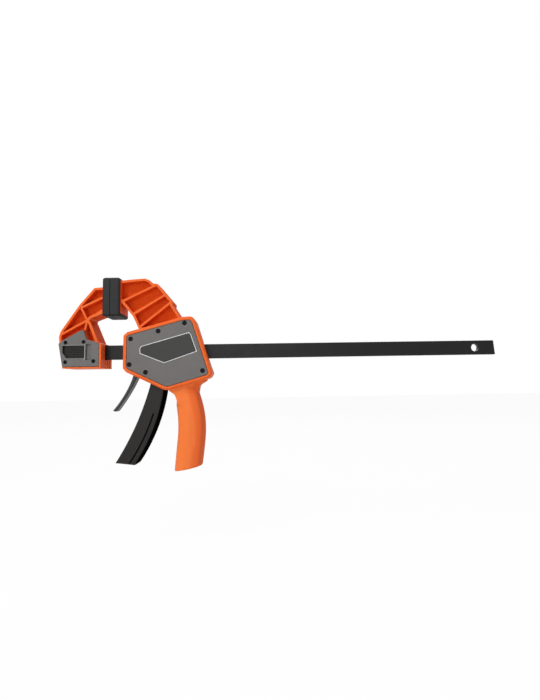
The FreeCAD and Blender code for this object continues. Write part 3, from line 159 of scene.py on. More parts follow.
# Painted light and shade on the grip, its front painted paler and its rear darker: rows of its
# height, and shares of each row's width between which the painted-light front fades to the rear
PAINTED_LIGHT_ROW = 4.0 * MM
PAINTED_LIGHT_START = 0.5
PAINTED_LIGHT_END = 0.85

# The arms' recesses, whose faces get a darker orange as painted shade, lie within these depths,
# above this height
RECESS_EDGE = 12.1 * MM
RECESS_RIM = 12.6 * MM
RECESS_LOW = 9.0 * MM
# The raised lips of the cover and of the label, from their front, and the width at the right side
# of the cover's lip that takes the brightest painted highlight
LIP_DEPTH = 0.25 * MM
LIP_WIDTH = 1.2 * MM
# The trigger's groove, and how far its faces look to the front, across, to the rear or aside; these
# pick the faces that get painted shade
GROOVE_FLOOR = -10.3 * MM
GROOVE_GAP = 0.05 * MM
GROOVE_DEPTH = 0.1 * MM
FACES_FRONT = -0.95
FACES_ACROSS = 0.2
FACES_REAR = 0.5
FACES_SIDE = 0.8

# Steps across a rounding, and the roundings of the small pieces
PLAIN_STEPS = 2
FINE_STEPS = 3
LABEL_EASING = 0.1 * MM
PIN_EASING = 0.15 * MM
PLATE_EASING = 0.2 * MM

# The screws: the head's height, the sides of the rounds, how far the shank's middle lies below the
# head as a share of its length, and the socket's lobes
HEAD_HEIGHT = 1.5 * MM
SCREW_SIDES = 40
SHANK_SIDES = 24
SHANK_SINK = -0.49
LOBES = 6
LOBE_SHARE = 0.72
LOBE_ROUND = 0.22 * MM

# Each spring: its axis, an axis across it, its turns, its wire's radius, the joint that shortens it
# and the share of its length that is left at that joint's limit
SPRINGS = {
    "drive_spring": (0, 1, 3.5, 0.7 * MM, "trigger_hinge", 0.6),
    "brake_spring": (0, 1, 4.5, 0.45 * MM, "release_lever_hinge", 0.4),
    "button_spring": (1, 0, 5.5, 0.35 * MM, "button_rocker", 0.3),
}
COIL_STEPS = 40
WIRE_SIDES = 10

# The photograph's angle, in degrees, and the camera's place in metres
CAMERA_PLACE = (0.17693, -0.503, -0.04134)
CAMERA_YAW = 1.09
CAMERA_TILT = 4.77
CAMERA_ROLL = -0.9
CAMERA_LENS = 21.574
CAMERA_SENSOR = 36
CAMERA_NEAR = 0.01
# Each lamp: its name, place, size and watts
LAMPS = [
    ("key", (-0.6, -1.0, 1.3), 0.7, 20.0),
    ("front", (-0.15, -1.5, 0.2), 1.0, 6.0),
    ("back", (0.2, 1.3, 1.2), 1.0, 9.0),
    ("side", (1.5, -0.1, 0.6), 0.8, 2.5),
]
LAMPS_AIM = (0.12, 0, 0)
SURROUND_LIGHT = 0.27
FLOOR_REACH = 6.0
FLOOR_GREY = (0.9, 0.9, 0.9, 1.0)
FLOOR_GLOW = 0.95


# Colours and shader nodes


def linear(code):
    """The linear colour of an sRGB hex value."""
    shares = [int(code[i:i + 2], 16) / 255 for i in (1, 3, 5)]
    return tuple(s / 12.92 if s <= 0.04045 else ((s + 0.055) / 1.055) ** 2.4
                 for s in shares) + (1.0,)


def add(tree, kind, inputs=None, **settings):
    """Add one node with its settings, and set or link its inputs."""
    made = tree.nodes.new(kind)
    for name, setting in settings.items():
        setattr(made, name, setting)
    for key, source in (inputs or {}).items():
        if isinstance(source, bpy.types.NodeSocket):
            tree.links.new(source, made.inputs[key])
        else:
            made.inputs[key].default_value = source
    return made


def new_material(name):
    """An empty material with its shader and the object's own coordinates, in millimetres."""
    material = bpy.data.materials.new(name)
    material.use_nodes = True
    tree = material.node_tree
    tree.nodes.clear()
    place = add(tree, "ShaderNodeTexCoord")
    return material, tree, stretched(tree, place.outputs["Object"], (1 / MM,) * 3)


def stretched(tree, place, scale):
    """A place times a scale of its own along each axis."""
    made = add(tree, "ShaderNodeVectorMath", {0: place, 1: scale}, operation="MULTIPLY")
    return made.outputs[0]


def noise(tree, place, size_mm, detail, roughness=0.5):
    """Noise whose largest forms are about this many millimetres across."""
    made = add(tree, "ShaderNodeTexNoise", {"Vector": place, "Scale": 1 / size_mm,
                                            "Detail": detail, "Roughness": roughness})
    return made.outputs["Fac"]


def between(tree, share, first, last):
    """A colour between two, by a share."""
    made = add(tree, "ShaderNodeMix", {0: share, 6: first, 7: last}, data_type="RGBA")
    return made.outputs[2]


def spread(tree, share, least, most, start=0.0, end=1.0):
    """A value from least to most, as a share goes from start to end."""
    made = add(tree, "ShaderNodeMapRange", {"Value": share, "From Min": start, "From Max": end,
                                            "To Min": least, "To Max": most})
    return made.outputs["Result"]


def bumped(tree, height, strength, depth_mm):
    """The surface's direction with a pattern of this depth in it."""
    made = add(tree, "ShaderNodeBump", {"Height": height, "Strength": strength,
                                        "Distance": depth_mm * MM})
    return made.outputs["Normal"]


def close(tree, inputs):
    """End a material with its shader."""
    shader = add(tree, "ShaderNodeBsdfPrincipled", inputs)
    add(tree, "ShaderNodeOutputMaterial", {"Surface": shader.outputs[0]})


def moulded_plastic(name, colour, deep, grain_mm, roughness, shine=0.5):
    """Filled nylon or ABS from a spark-eroded mould: an even fine grain that breaks up the light,
    and slow clouds of colour and gloss where the melt flowed and hands have rubbed."""
    material, tree, place = new_material(name)
    cloud = noise(tree, place, CLOUD_MM, 3.0, 0.55)
    grain = noise(tree, place, grain_mm, 2.0, 0.6)
    tint = add(tree, "ShaderNodeValToRGB", {"Fac": cloud})
    low, high = tint.color_ramp.elements
    low.position, low.color = CLOUD_LOW, deep
    high.position, high.color = CLOUD_HIGH, colour
    close(tree, {
        "Base Color": tint.outputs["Color"], "IOR": PLASTIC_IOR, "Specular IOR Level": shine,
        "Roughness": spread(tree, cloud, roughness - GLOSS_SPREAD, roughness + GLOSS_SPREAD,
                            CLOUD_LOW, CLOUD_HIGH),
        "Normal": bumped(tree, grain, 0.5, GRAIN_DEPTH_MM)})
    return material


def painted_light_grip(name, pale, pale_deep, rear, roughness, shine):
    """The same moulded nylon on the grip, painted paler toward the front as painted light and
    deeper at the rear as painted shade; the front is also smoother, and the rear keeps the dull
    skin of the mould."""
    material, tree, place = new_material(name)
    # This share paints the front paler as painted light and the rear darker as painted shade
    worn = add(tree, "ShaderNodeAttribute", attribute_name="painted_light_front").outputs["Fac"]
    front = between(tree, noise(tree, place, GRIP_CLOUD_MM, 3.0), pale_deep, pale)
    grain = noise(tree, place, GRIP_GRAIN_MM, 2.0)
    close(tree, {
        "Base Color": between(tree, worn, rear, front),
        "IOR": PLASTIC_IOR, "Specular IOR Level": shine,
        "Roughness": spread(tree, worn, roughness + REAR_DULLER, roughness - FRONT_GLOSSIER),
        "Normal": bumped(tree, grain, 0.5, GRAIN_DEPTH_MM)})
    return material


def soft_rubber(name, colour, worn):
    """Moulded rubber: matt, with a pebbled skin, and paler where it has been pressed on work."""
    material, tree, place = new_material(name)
    pebble = add(tree, "ShaderNodeTexVoronoi", {"Vector": place, "Scale": 1 / PEBBLE_MM},
                 feature="SMOOTH_F1")
    cloud = noise(tree, place, RUBBER_CLOUD_MM, 4.0)
    close(tree, {
        "Base Color": between(tree, cloud, colour, worn),
        "IOR": RUBBER_IOR, "Specular IOR Level": 0.3,
        "Roughness": spread(tree, cloud, 0.6, 0.78),
        "Normal": bumped(tree, pebble.outputs["Distance"], 0.4, PEBBLE_DEPTH_MM)})
    return material


def black_oxide(name, colour, worn, drawn):
    """Blackened steel: a thin dark oxide over the stock, which is a little thinner, and greyer, in
    patches. On drawn stock faint lines run along it."""
    material, tree, place = new_material(name)
    lines = noise(tree, stretched(tree, place, drawn), OXIDE_LINE_MM, 3.0)
    patch = noise(tree, place, OXIDE_PATCH_MM, 5.0, 0.6)
    close(tree, {
        "Base Color": between(tree, patch, colour, worn), "Metallic": 0.75,
        "Specular IOR Level": 0.3, "Roughness": spread(tree, lines, 0.34, 0.52),
        "Normal": bumped(tree, lines, 0.25, SCRATCH_DEPTH_MM)})
    return material


def ground_steel(name, colour, line_mm, direction):
    """Steel left bright from grinding: close parallel scratches, which break up the gloss."""
    material, tree, place = new_material(name)
    lines = noise(tree, stretched(tree, place, direction), line_mm, 4.0)
    close(tree, {
        "Base Color": colour, "Metallic": 1.0, "Roughness": spread(tree, lines, 0.22, 0.42),
        "Normal": bumped(tree, lines, 0.3, SCRATCH_DEPTH_MM)})
    return material


def printed_film(name, dark, light):
    """Polyester film on the cover: satin, with a fine brushed print that runs along the clamp."""
    material, tree, place = new_material(name)
    lines = noise(tree, stretched(tree, place, BRUSHED_LINES), FILM_LINE_MM, 3.0)
    close(tree, {
        "Base Color": between(tree, lines, dark, light),
        "IOR": FILM_IOR, "Specular IOR Level": 0.25,
        "Roughness": spread(tree, lines, 0.3, 0.42)})
    return material


# Meshes


def placed(name, data):
    """Add an object to the scene."""
    thing = bpy.data.objects.new(name, data)
    bpy.context.scene.collection.objects.link(thing)
    return thing


def new_piece(name, mesh, node, materials=()):
    """Add a finished piece that stands for a CAD node, on its body and with its slot."""
    if materials:
        mesh.materials.clear()
        for material in materials:
            mesh.materials.append(material)
    piece = placed(name, mesh)
    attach(piece, body_of(node))
    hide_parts(node)
    return piece


def shown_mesh(thing):
    """A new mesh of an object as it shows, with its modifiers in it."""
    bpy.context.view_layer.update()
    shown = thing.evaluated_get(bpy.context.evaluated_depsgraph_get())
    return bpy.data.meshes.new_from_object(shown)


def applied(thing):
    """The mesh of an object with its modifiers in it. The object itself goes."""
    mesh = shown_mesh(thing)
    bpy.data.objects.remove(thing)
    return mesh


def merged_copy(node):
    """A copy of a CAD node's mesh with its doubles merged and its flat faces whole."""
    source = frame["nodes"][node].data
    mesh = bpy.data.meshes.new(node + "_copy")
    mesh.from_pydata([v.co[:] for v in source.vertices], [],
                     [p.vertices[:] for p in source.polygons])
    whole_faces(mesh)
    return mesh


def whole_faces(mesh):
    """Merge a mesh's doubles, and join the pieces of each flat face."""
    work = bmesh.new()
    work.from_mesh(mesh)
    bmesh.ops.remove_doubles(work, verts=work.verts, dist=MERGE_GAP)
    bmesh.ops.dissolve_limit(work, angle_limit=math.radians(FLAT_ANGLE), verts=work.verts,
                             edges=work.edges, delimit={"MATERIAL"})
    work.to_mesh(mesh)
    work.free()


def edge_lines(mesh):
    """How far each edge is rounded, one or nothing by its angle, with the edge's two ends."""
    work = bmesh.new()
    work.from_mesh(mesh)
    turn = math.radians(EASED_ANGLE)
    weights = [float(edge.calc_face_angle(0.0) > turn) for edge in work.edges]
    ends = [(edge.verts[0].co.copy(), edge.verts[1].co.copy()) for edge in work.edges]
    work.free()
    return weights, ends


def folded_places(mesh, surface, width):
    """Where a rounded mesh turns against its own surface or stands off it, in a tight corner."""
    places = []
    mesh.calc_loop_triangles()
    for triangle in mesh.loop_triangles:
        if triangle.area < TINY_FACE:
            continue
        corners = [mesh.vertices[i].co.copy() for i in triangle.vertices]
        centre = sum(corners, Vector()) / 3
        _, normal, _, far = surface.find_nearest(centre)
        if triangle.normal.dot(normal) < FOLD_TURN or far > FOLD_WIDTHS * width:
            places += [centre] + corners
    return places


def keep_sharper(weights, ends, places, width, attempt):
    """Round less the edges that run near a folded place, and later leave them sharp."""
    near = KDTree(len(places))
    for index, place in enumerate(places):
        near.insert(place, index)
    near.balance()
    reach = (SHARPER_WIDTHS + SHARPER_GROWTH * attempt) * width
    for index, (first, last) in enumerate(ends):
        if weights[index] == 0.0:
            continue
        steps = min(LINE_STEPS, max(1, int((last - first).length / (LINE_STEP * width))))
        line = [first.lerp(last, step / steps) for step in range(steps + 1)]
        if min(near.find(place)[2] for place in line) < reach:
            weights[index] = weights[index] / 2 if attempt < HALVING_TRIES else 0.0


def rounded_mesh(thing, width, segments, edge_slot):
    """An object's mesh with its sharp edges rounded at one width, but where they would fold."""
    mesh = thing.data
    weights, ends = edge_lines(mesh)
    mesh.attributes.new("bevel_weight_edge", "FLOAT", "EDGE")
    surface = BVHTree.FromPolygons([v.co[:] for v in mesh.vertices],
                                   [p.vertices[:] for p in mesh.polygons])
    bevel = thing.modifiers.new("edges", "BEVEL")
    bevel.width = width
    bevel.segments = segments
    bevel.limit_method = "WEIGHT"
    bevel.use_clamp_overlap = False
    bevel.miter_outer = "MITER_ARC"
    bevel.material = edge_slot
    bevel.face_strength_mode = "FSTR_ALL"
    for attempt in range(ROUNDING_TRIES):
        mesh.attributes["bevel_weight_edge"].data.foreach_set("value", weights)
        mesh.update()
        thing.update_tag()
        made = shown_mesh(thing)
        whole_faces(made)
        places = folded_places(made, surface, width)
        if not places:
            break
        keep_sharper(weights, ends, places, width, attempt)
    bpy.data.objects.remove(thing)
    return made


def eased_mesh(node, width, segments, edge_slot):
    """A node's merged mesh with its sharp edges rounded by a small radius, shaded smooth.

    The faces of the rounding take the material of the slot given.
    """
    thing = placed(node + "_work", merged_copy(node))
    for _ in range(edge_slot + 1):
        thing.data.materials.append(None)
    mesh = rounded_mesh(thing, width, segments, edge_slot)
    if node == "housing":
        cut_at_wall(mesh, HOUSING_CUT, False)
    shade(mesh)
    flat = placed(node + "_flat", mesh)
    evened = flat.modifiers.new("even", "WEIGHTED_NORMAL")
    evened.keep_sharp = True
    evened.use_face_influence = True
    return applied(flat)


def cut_at_wall(mesh, drop, lower):
    """Cut a mesh parallel to the housing's sloping lower wall, and close the side that is kept."""
    work = bmesh.new()
    work.from_mesh(mesh)
    bmesh.ops.bisect_plane(work, geom=work.verts[:] + work.edges[:] + work.faces[:],
                           dist=CUT_GAP, plane_co=WALL_START - drop * WALL_SLOPE,
                           plane_no=WALL_SLOPE, clear_outer=lower, clear_inner=not lower)
    rim = [edge for edge in work.edges if edge.is_boundary]
    bmesh.ops.triangle_fill(work, use_beauty=True, edges=rim,
                            normal=WALL_SLOPE if lower else -WALL_SLOPE)
    work.to_mesh(mesh)
    work.free()


def softness(place, low):
    """How far the grip's skin is smoothed at a place: not where it joins the housing, and little
    round the trigger's slot and at the grip's foot."""
    depth = (WALL_START - place).dot(WALL_SLOPE)
    share = min(1.0, max(0.0, (depth - SKIN_START) / SKIN_RAMP))
    if place.x < SLOT_END.x and place.z > SLOT_END.z:
        share *= SLOT_SOFTNESS
    return share * min(1.0, max(FOOT_SOFTNESS, (place.z - low - FOOT_START) / FOOT_RAMP))


def grip_skin(node):
    """The grip with its neck as one moulded skin, with every corner of it blended."""
    mesh = merged_copy(node)
    cut_at_wall(mesh, GRIP_CUT, True)
    thing = placed("grip_work", mesh)
    even = thing.modifiers.new("even", "REMESH")
    even.mode = "VOXEL"
    even.voxel_size = GRIP_STEP
    skin = applied(thing)
    thing = placed("grip_skin", skin)
    group = thing.vertex_groups.new(name="soft")
    low = min(v.co.z for v in skin.vertices)
    for vert in skin.vertices:
        group.add([vert.index], softness(vert.co, low), "REPLACE")
    smooth = thing.modifiers.new("soft", "SMOOTH")
    smooth.factor = SKIN_FACTOR
    smooth.iterations = SKIN_PASSES
    smooth.vertex_group = "soft"
    soft = applied(thing)
    mark_painted_light(soft)
    shade(soft, GRIP_SHARP_ANGLE)
    return soft


def mark_painted_light(mesh):
    """Keep on each corner of the grip how near the front it lies, for the grip's painted light on
    its front and painted shade on its rear.
    """
    rows = {}
    for vert in mesh.vertices:
        rows.setdefault(round(vert.co.z / PAINTED_LIGHT_ROW), []).append(vert.co.x)
    spans = {row: (min(places), max(places)) for row, places in rows.items()}
    shares = []
    for vert in mesh.vertices:
        near, far = spans[round(vert.co.z / PAINTED_LIGHT_ROW)]
        back = (vert.co.x - near) / max(far - near, PAINTED_LIGHT_ROW)
        share = (PAINTED_LIGHT_END - back) / (PAINTED_LIGHT_END - PAINTED_LIGHT_START)
        shares.append(min(1.0, max(0.0, share)))
    mesh.attributes.new("painted_light_front", "FLOAT", "POINT").data.foreach_set("value", shares)


def shade(mesh, angle=SHARP_ANGLE):
    """Shade a mesh smooth, but for the edges that turn sharply."""
    mesh.polygons.foreach_set("use_smooth", [True] * len(mesh.polygons))
    mesh.set_sharp_from_angle(angle=math.radians(angle))
    mesh.update()


def body_of(node):
    """The body that a CAD node is on."""
    bodies = frame["record"]["behaviour"]["bodies"]
    return next(name for name, members in bodies.items() if node in members)


def ease(node, width, materials, segments=PLAIN_STEPS):
    """Stand a piece with eased edges in for a CAD node. The last material is for its edges."""
    mesh = eased_mesh(node, width, segments, len(materials) - 1)
    return new_piece(node + "_eased", mesh, node, materials)


def repaint(piece, material, chosen):
    """Give the faces of a piece that pass a test a material of their own."""
    mesh = piece.data
    mesh.materials.append(material)
    for face in mesh.polygons:
        if chosen(face, [mesh.vertices[i].co for i in face.vertices]):
            face.material_index = len(mesh.materials) - 1


def in_recess(face, corners):
    """Whether a face lies in one of the arms' recesses, on a floor there or on a rib's side, where
    the mouldings get painted shade.
    """
    depth = [abs(c.y) for c in corners]
    inside = min(depth) < RECESS_EDGE and max(depth) < RECESS_RIM
    return inside and min(c.z for c in corners) > RECESS_LOW


def in_groove(face, corners):
    """Whether a face is the floor or a side of the trigger's groove."""
    front, back = min(c.y for c in corners), max(c.y for c in corners)
    level = abs(front - GROOVE_FLOOR) < GROOVE_GAP and back - front < GROOVE_GAP
    upright = front < GROOVE_FLOOR - GROOVE_DEPTH and back < GROOVE_FLOOR + GROOVE_GAP
    across = face.normal.y
    return (level and across < FACES_FRONT) or (upright and abs(across) < FACES_ACROSS)


def in_painted_shade(face, corners):
    """Whether a face of the trigger gets painted shade: it looks to the rear or is in the groove.
    """
    rear = face.normal.x > FACES_REAR and abs(face.normal.y) < FACES_SIDE
    return rear or in_groove(face, corners)


def raised_test(piece):
    """A test of whether a face lies on a cover's or the label's raised front."""
    level = min(v.co.y for v in piece.data.vertices) + LIP_DEPTH
    return lambda face, corners: max(c.y for c in corners) < level


def islands(node):
    """The lowest and highest corner of each separate solid of a node."""
    source = frame["nodes"][node].data
    work = bmesh.new()
    work.from_mesh(source)
    bmesh.ops.remove_doubles(work, verts=work.verts, dist=MERGE_GAP)
    left = set(work.verts)
    boxes = []
    while left:
        stack = [left.pop()]
        seen = []
        while stack:
            vert = stack.pop()
            seen.append(vert.co.copy())
            for edge in vert.link_edges:
                other = edge.other_vert(vert)
                if other in left:
                    left.remove(other)
                    stack.append(other)
        boxes.append((Vector([min(c[i] for c in seen) for i in range(3)]),
                      Vector([max(c[i] for c in seen) for i in range(3)])))
    work.free()
    return sorted(boxes, key=lambda box: tuple(box[0]))


# Geometry node trees


def new_tree(name, sizes):
    """A geometry tree whose named inputs are sizes, each with its default."""
    tree = bpy.data.node_groups.new(name, "GeometryNodeTree")
    tree.interface.new_socket("Geometry", in_out="INPUT", socket_type="NodeSocketGeometry")
    for label, default in sizes.items():
        socket = tree.interface.new_socket(label, in_out="INPUT", socket_type="NodeSocketFloat")
        socket.default_value = default
    tree.interface.new_socket("Geometry", in_out="OUTPUT", socket_type="NodeSocketGeometry")
    return tree, add(tree, "NodeGroupInput")


def run_tree(name, tree, settings, points=((0, 0, 0),)):
    """Run a geometry tree on a set of points and give back its mesh."""
    mesh = bpy.data.meshes.new(name)
    mesh.from_pydata([tuple(p) for p in points], [], [])
    thing = placed(name, mesh)
    modifier = thing.modifiers.new("tree", "NODES")
    modifier.node_group = tree
    for item in tree.interface.items_tree:
        if item.item_type == "SOCKET" and item.in_out == "INPUT" and item.name in settings:
            modifier[item.identifier] = settings[item.name]
    return applied(thing)


def end_tree(tree, geometry, material):
    """End a tree with real geometry that carries its material."""
    real = add(tree, "GeometryNodeRealizeInstances", {"Geometry": geometry})
    painted = add(tree, "GeometryNodeSetMaterial", {"Geometry": real.outputs[0],
                                                    "Material": material})
    add(tree, "NodeGroupOutput", {"Geometry": painted.outputs[0]})


def maths(tree, operation, first, second):
    """The result of one sum in a tree."""
    return add(tree, "ShaderNodeMath", {0: first, 1: second}, operation=operation).outputs[0]


def lifted(tree, geometry, height):
    """Geometry moved up by a height."""
    offset = add(tree, "ShaderNodeCombineXYZ", {"Z": height})
    made = add(tree, "GeometryNodeTransform", {"Geometry": geometry,
                                               "Translation": offset.outputs[0]})
    return made.outputs[0]


def socket_cutter(tree, size):
    """A six-lobed block that stands on the floor of a screw's socket."""
    inner = maths(tree, "MULTIPLY", size["Socket Radius"], LOBE_SHARE)
    star = add(tree, "GeometryNodeCurveStar", {"Points": LOBES, "Inner Radius": inner,
                                               "Outer Radius": size["Socket Radius"]})
    rounded = add(tree, "GeometryNodeFilletCurve",
                  {"Curve": star.outputs[0], "Radius": LOBE_ROUND, "Count": 3}, mode="POLY")
    disc = add(tree, "GeometryNodeFillCurve", {"Curve": rounded.outputs[0]})
    upward = add(tree, "ShaderNodeCombineXYZ", {"Z": 1.0})
    block = add(tree, "GeometryNodeExtrudeMesh", {
        "Mesh": disc.outputs[0], "Offset": upward.outputs[0], "Individual": False,
        "Offset Scale": maths(tree, "MULTIPLY", size["Socket Depth"], 2.0)})
    both = add(tree, "GeometryNodeJoinGeometry")
    bottom = add(tree, "GeometryNodeFlipFaces", {"Mesh": disc.outputs[0]})
    tree.links.new(block.outputs[0], both.inputs[0])
    tree.links.new(bottom.outputs[0], both.inputs[0])
    welded = add(tree, "GeometryNodeMergeByDistance", {"Geometry": both.outputs[0],
                                                       "Distance": CUT_GAP})
    floor = maths(tree, "SUBTRACT", size["Head Height"], size["Socket Depth"])
    return lifted(tree, welded.outputs[0], floor)


def screw_tree(material):
    """Pan-head screws with a six-lobed socket, one at each point, that face the front."""
    tree, start = new_tree("cover_screws", {
        "Head Radius": 2.7 * MM, "Head Height": HEAD_HEIGHT, "Socket Radius": 1.35 * MM,
        "Socket Depth": 0.9 * MM, "Edge": 0.35 * MM, "Shank Radius": 1.4 * MM,
        "Shank Length": 9.0 * MM})
    size = start.outputs
    rise = maths(tree, "SUBTRACT", size["Head Height"], size["Edge"])
    side = add(tree, "GeometryNodeMeshCylinder", {
        "Vertices": SCREW_SIDES, "Radius": size["Head Radius"], "Depth": rise})
    crown = add(tree, "GeometryNodeMeshCone", {
        "Vertices": SCREW_SIDES, "Radius Bottom": size["Head Radius"], "Depth": size["Edge"],
        "Radius Top": maths(tree, "SUBTRACT", size["Head Radius"], size["Edge"])})
    shank = add(tree, "GeometryNodeMeshCylinder", {
        "Vertices": SHANK_SIDES, "Radius": size["Shank Radius"], "Depth": size["Shank Length"]})
    union = add(tree, "GeometryNodeMeshBoolean", operation="UNION", solver="EXACT")
    for form, height in ((side, maths(tree, "MULTIPLY", rise, 0.5)), (crown, rise),
                         (shank, maths(tree, "MULTIPLY", size["Shank Length"], SHANK_SINK))):
        tree.links.new(lifted(tree, form.outputs[0], height), union.inputs["Mesh 2"])
    cut = add(tree, "GeometryNodeMeshBoolean",
              {"Mesh 1": union.outputs[0], "Mesh 2": socket_cutter(tree, size)},
              operation="DIFFERENCE", solver="EXACT")
    turned = add(tree, "GeometryNodeTransform", {"Geometry": cut.outputs[0],
                                                 "Rotation": (math.radians(90), 0, 0)})
    points = add(tree, "GeometryNodeMeshToPoints", {"Mesh": size["Geometry"]})
    screws = add(tree, "GeometryNodeInstanceOnPoints", {"Points": points.outputs[0],
                                                        "Instance": turned.outputs[0]})
    end_tree(tree, screws.outputs[0], material)
    return tree


def spring_tree(material):
    """A coil spring of round wire that starts on its foot and rises along +Z."""
    tree, start = new_tree("coil_spring", {
        "Radius": 5.0 * MM, "Wire": 0.5 * MM, "Length": 10.0 * MM, "Turns": 5.0})
    size = start.outputs
    climb = maths(tree, "SUBTRACT", size["Length"], maths(tree, "MULTIPLY", size["Wire"], 2.0))
    coil = add(tree, "GeometryNodeCurveSpiral", {
        "Resolution": COIL_STEPS, "Rotations": size["Turns"], "Start Radius": size["Radius"],
        "End Radius": size["Radius"], "Height": climb})
    section = add(tree, "GeometryNodeCurvePrimitiveCircle", {"Resolution": WIRE_SIDES,
                                                             "Radius": size["Wire"]})
    swept = add(tree, "GeometryNodeCurveToMesh", {
        "Curve": lifted(tree, coil.outputs[0], size["Wire"]),
        "Profile Curve": section.outputs[0], "Fill Caps": True})
    end_tree(tree, swept.outputs[0], material)
    return tree


def add_spring(node, tree):
    """Add the coil that stands for a spring."""
    axis, across, turns, wire_radius, joint, keep = SPRINGS[node]
    low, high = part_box(node)
    foot, seat = (low + high) / 2, (low + high) / 2
    foot[axis], seat[axis] = low[axis], high[axis]
    mesh = run_tree(node + "_run", tree, {
        "Radius": (high[across] - low[across]) / 2 - wire_radius, "Wire": wire_radius,
        "Length": high[axis] - low[axis], "Turns": turns})
    facing = Vector((1, 0, 0)) if axis == 0 else Vector((0, 1, 0))
    turn = facing.to_track_quat("Z", "Y").to_matrix().to_4x4()
    mesh.transform(Matrix.Translation(foot) @ turn)
    shade(mesh, COIL_SHARP_ANGLE)
    coil = new_piece(node + "_coil", mesh, node)
    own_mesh(coil)


# Sizes and colours that a user would change


def colour_setting(name, code, description):
    """A colour that a user can change, from its sRGB hex value."""
    return bpy.props.FloatVectorProperty(name=name, description=description, default=linear(code),
                                         size=4, min=0.0, max=1.0, subtype="COLOR")


def rounding_setting(name, width, description):
    """A rounding of edges that a user can change."""
    return bpy.props.FloatProperty(name=name, description=description, default=width,
                                   min=0.05 * MM, max=1.5 * MM, subtype="DISTANCE")


class ClampLook(bpy.types.PropertyGroup):
    """The clamp's colours and the roundings of its edges"""

    orange: colour_setting("Orange", "#E96A30", "Colour of the jaws' mouldings")
    orange_deep: colour_setting(
        "Deep orange", "#E36126",
        "The mouldings' colour where the melt ran thick")
    # Painted shade: this darker orange goes on the arms' recess floors and rib sides, for the shade
    # that falls in them
    orange_recess_shade: colour_setting(
        "Sunk orange", "#E1551A",
        "The mouldings' colour in the arms' recesses, which hands don't reach")
    # Painted light on the grip: these paler oranges go on its front, the deep one giving random
    # clouds in it
    orange_grip_lit: colour_setting(
        "Gripped orange", "#EC7939",
        "Colour of the grip, paler from hands")
    orange_grip_lit_deep: colour_setting(
        "Deep gripped orange", "#E8712F",
        "Darker clouds in the grip")
    # Painted shade: the darker orange of the grip's rear third
    orange_grip_shaded_rear: colour_setting(
        "Grip's rear orange", "#E2622A",
        "Colour of the grip's rear third")
    # Partly painted highlight: this paler orange on the rounded edges stands in for the highlights
    # along them, and partly for their wear
    orange_edge_highlight_and_wear: colour_setting(
        "Rubbed orange", "#EC7440",
        "The mouldings' colour along their edges")
    cover_grey: colour_setting("Cover grey", "#686563", "Colour of the two covers")
    cover_grey_deep: colour_setting("Deep cover grey", "#62605E", "Darker clouds in the covers")
    # Painted highlights: these lighter greys go on the cover's raised lips round the rocker's
    # window, the brighter one on the right side
    lip_grey_highlight: colour_setting(
        "Lip grey", "#A5A4A2",
        "Colour of the bright lips round the rocker's window")
    lip_grey_dim_highlight: colour_setting(
        "Dull lip grey", "#807F7D",
        "Colour of the lips above and below that window")
    charcoal: colour_setting("Charcoal", "#1D1A19", "Colour of the trigger and the rocker")
    charcoal_deep: colour_setting(
        "Deep charcoal", "#181615",
        "Darker clouds in the trigger and the rocker")
    lever_grey: colour_setting("Lever grey", "#363637", "Colour of the release lever")
    lever_grey_deep: colour_setting(
        "Deep lever grey", "#303031",
        "Darker clouds in the release lever")
    rubber: colour_setting("Rubber", "#18191A", "Colour of the pads")
    rubber_worn: colour_setting(
        "Worn rubber", "#202122",
        "Colour of the pads where they have been pressed")
    steel_black: colour_setting("Blackened steel", "#1E1E1E", "Colour of the bar")
    steel_black_worn: colour_setting(
        "Worn blackened steel", "#272727",
        "Colour of the bar where its oxide is thin")
    mould_easing: rounding_setting(
        "Moulding easing", 0.45 * MM,
        "Rounding of the orange mouldings' edges")
    cover_easing: rounding_setting("Cover easing", 0.2 * MM, "Rounding of the covers' edges")
    pad_easing: rounding_setting("Pad easing", 0.5 * MM, "Rounding of the rubber pads' edges")
    trigger_easing: rounding_setting(
        "Trigger easing", 0.7 * MM,
        "Rounding of the trigger's edges")
    lever_easing: rounding_setting(
        "Lever easing", 0.35 * MM,
        "Rounding of the release lever's edges")
    bar_easing: rounding_setting("Bar easing", 0.5 * MM, "Rounding of the bar's long edges")
    floor_drop: bpy.props.FloatProperty(
        name="Floor drop", description="Floor below the clamp's lowest point",
        default=90 * MM, min=0.0, max=1.0, subtype="DISTANCE")


class CLAMP_OT_mouldings(bpy.types.Operator):
    """Finish the orange mouldings of both jaws"""

    bl_idname = "clamp.mouldings"
    bl_label = "Jaw mouldings"

    def execute(self, context):
        look = context.scene.clamp_look
        orange = moulded_plastic("orange_nylon_moulded", look.orange, look.orange_deep,
                                 NYLON_GRAIN_MM, 0.5, 0.1)
        # The edges' material is partly a painted highlight along the roundings and partly edge wear
        rubbed = moulded_plastic("orange_nylon_edge_highlight_and_wear", look.orange_edge_highlight_and_wear, look.orange,
                                 NYLON_GRAIN_MM, 0.38, 0.25)
        # Painted shade: a darker, duller orange on the recess floors and rib sides
        shaded_recess = moulded_plastic("orange_nylon_recess_shade", look.orange_recess_shade, look.orange_recess_shade,
                               NYLON_GRAIN_MM, 0.6, 0.03)
        for node in ("housing", "fixed_jaw_frame"):
            piece = ease(node, look.mould_easing, [orange, rubbed])
            repaint(piece, shaded_recess, in_recess)
        # The grip's material paints its front paler as painted light and its rear darker as painted
        # shade
        grip_painted_light = painted_light_grip("orange_nylon_grip_painted_light", look.orange_grip_lit,
                              look.orange_grip_lit_deep, look.orange_grip_shaded_rear, 0.5, 0.15)
        new_piece("housing_grip", grip_skin("housing"), "housing", [grip_painted_light])
        return {"FINISHED"}


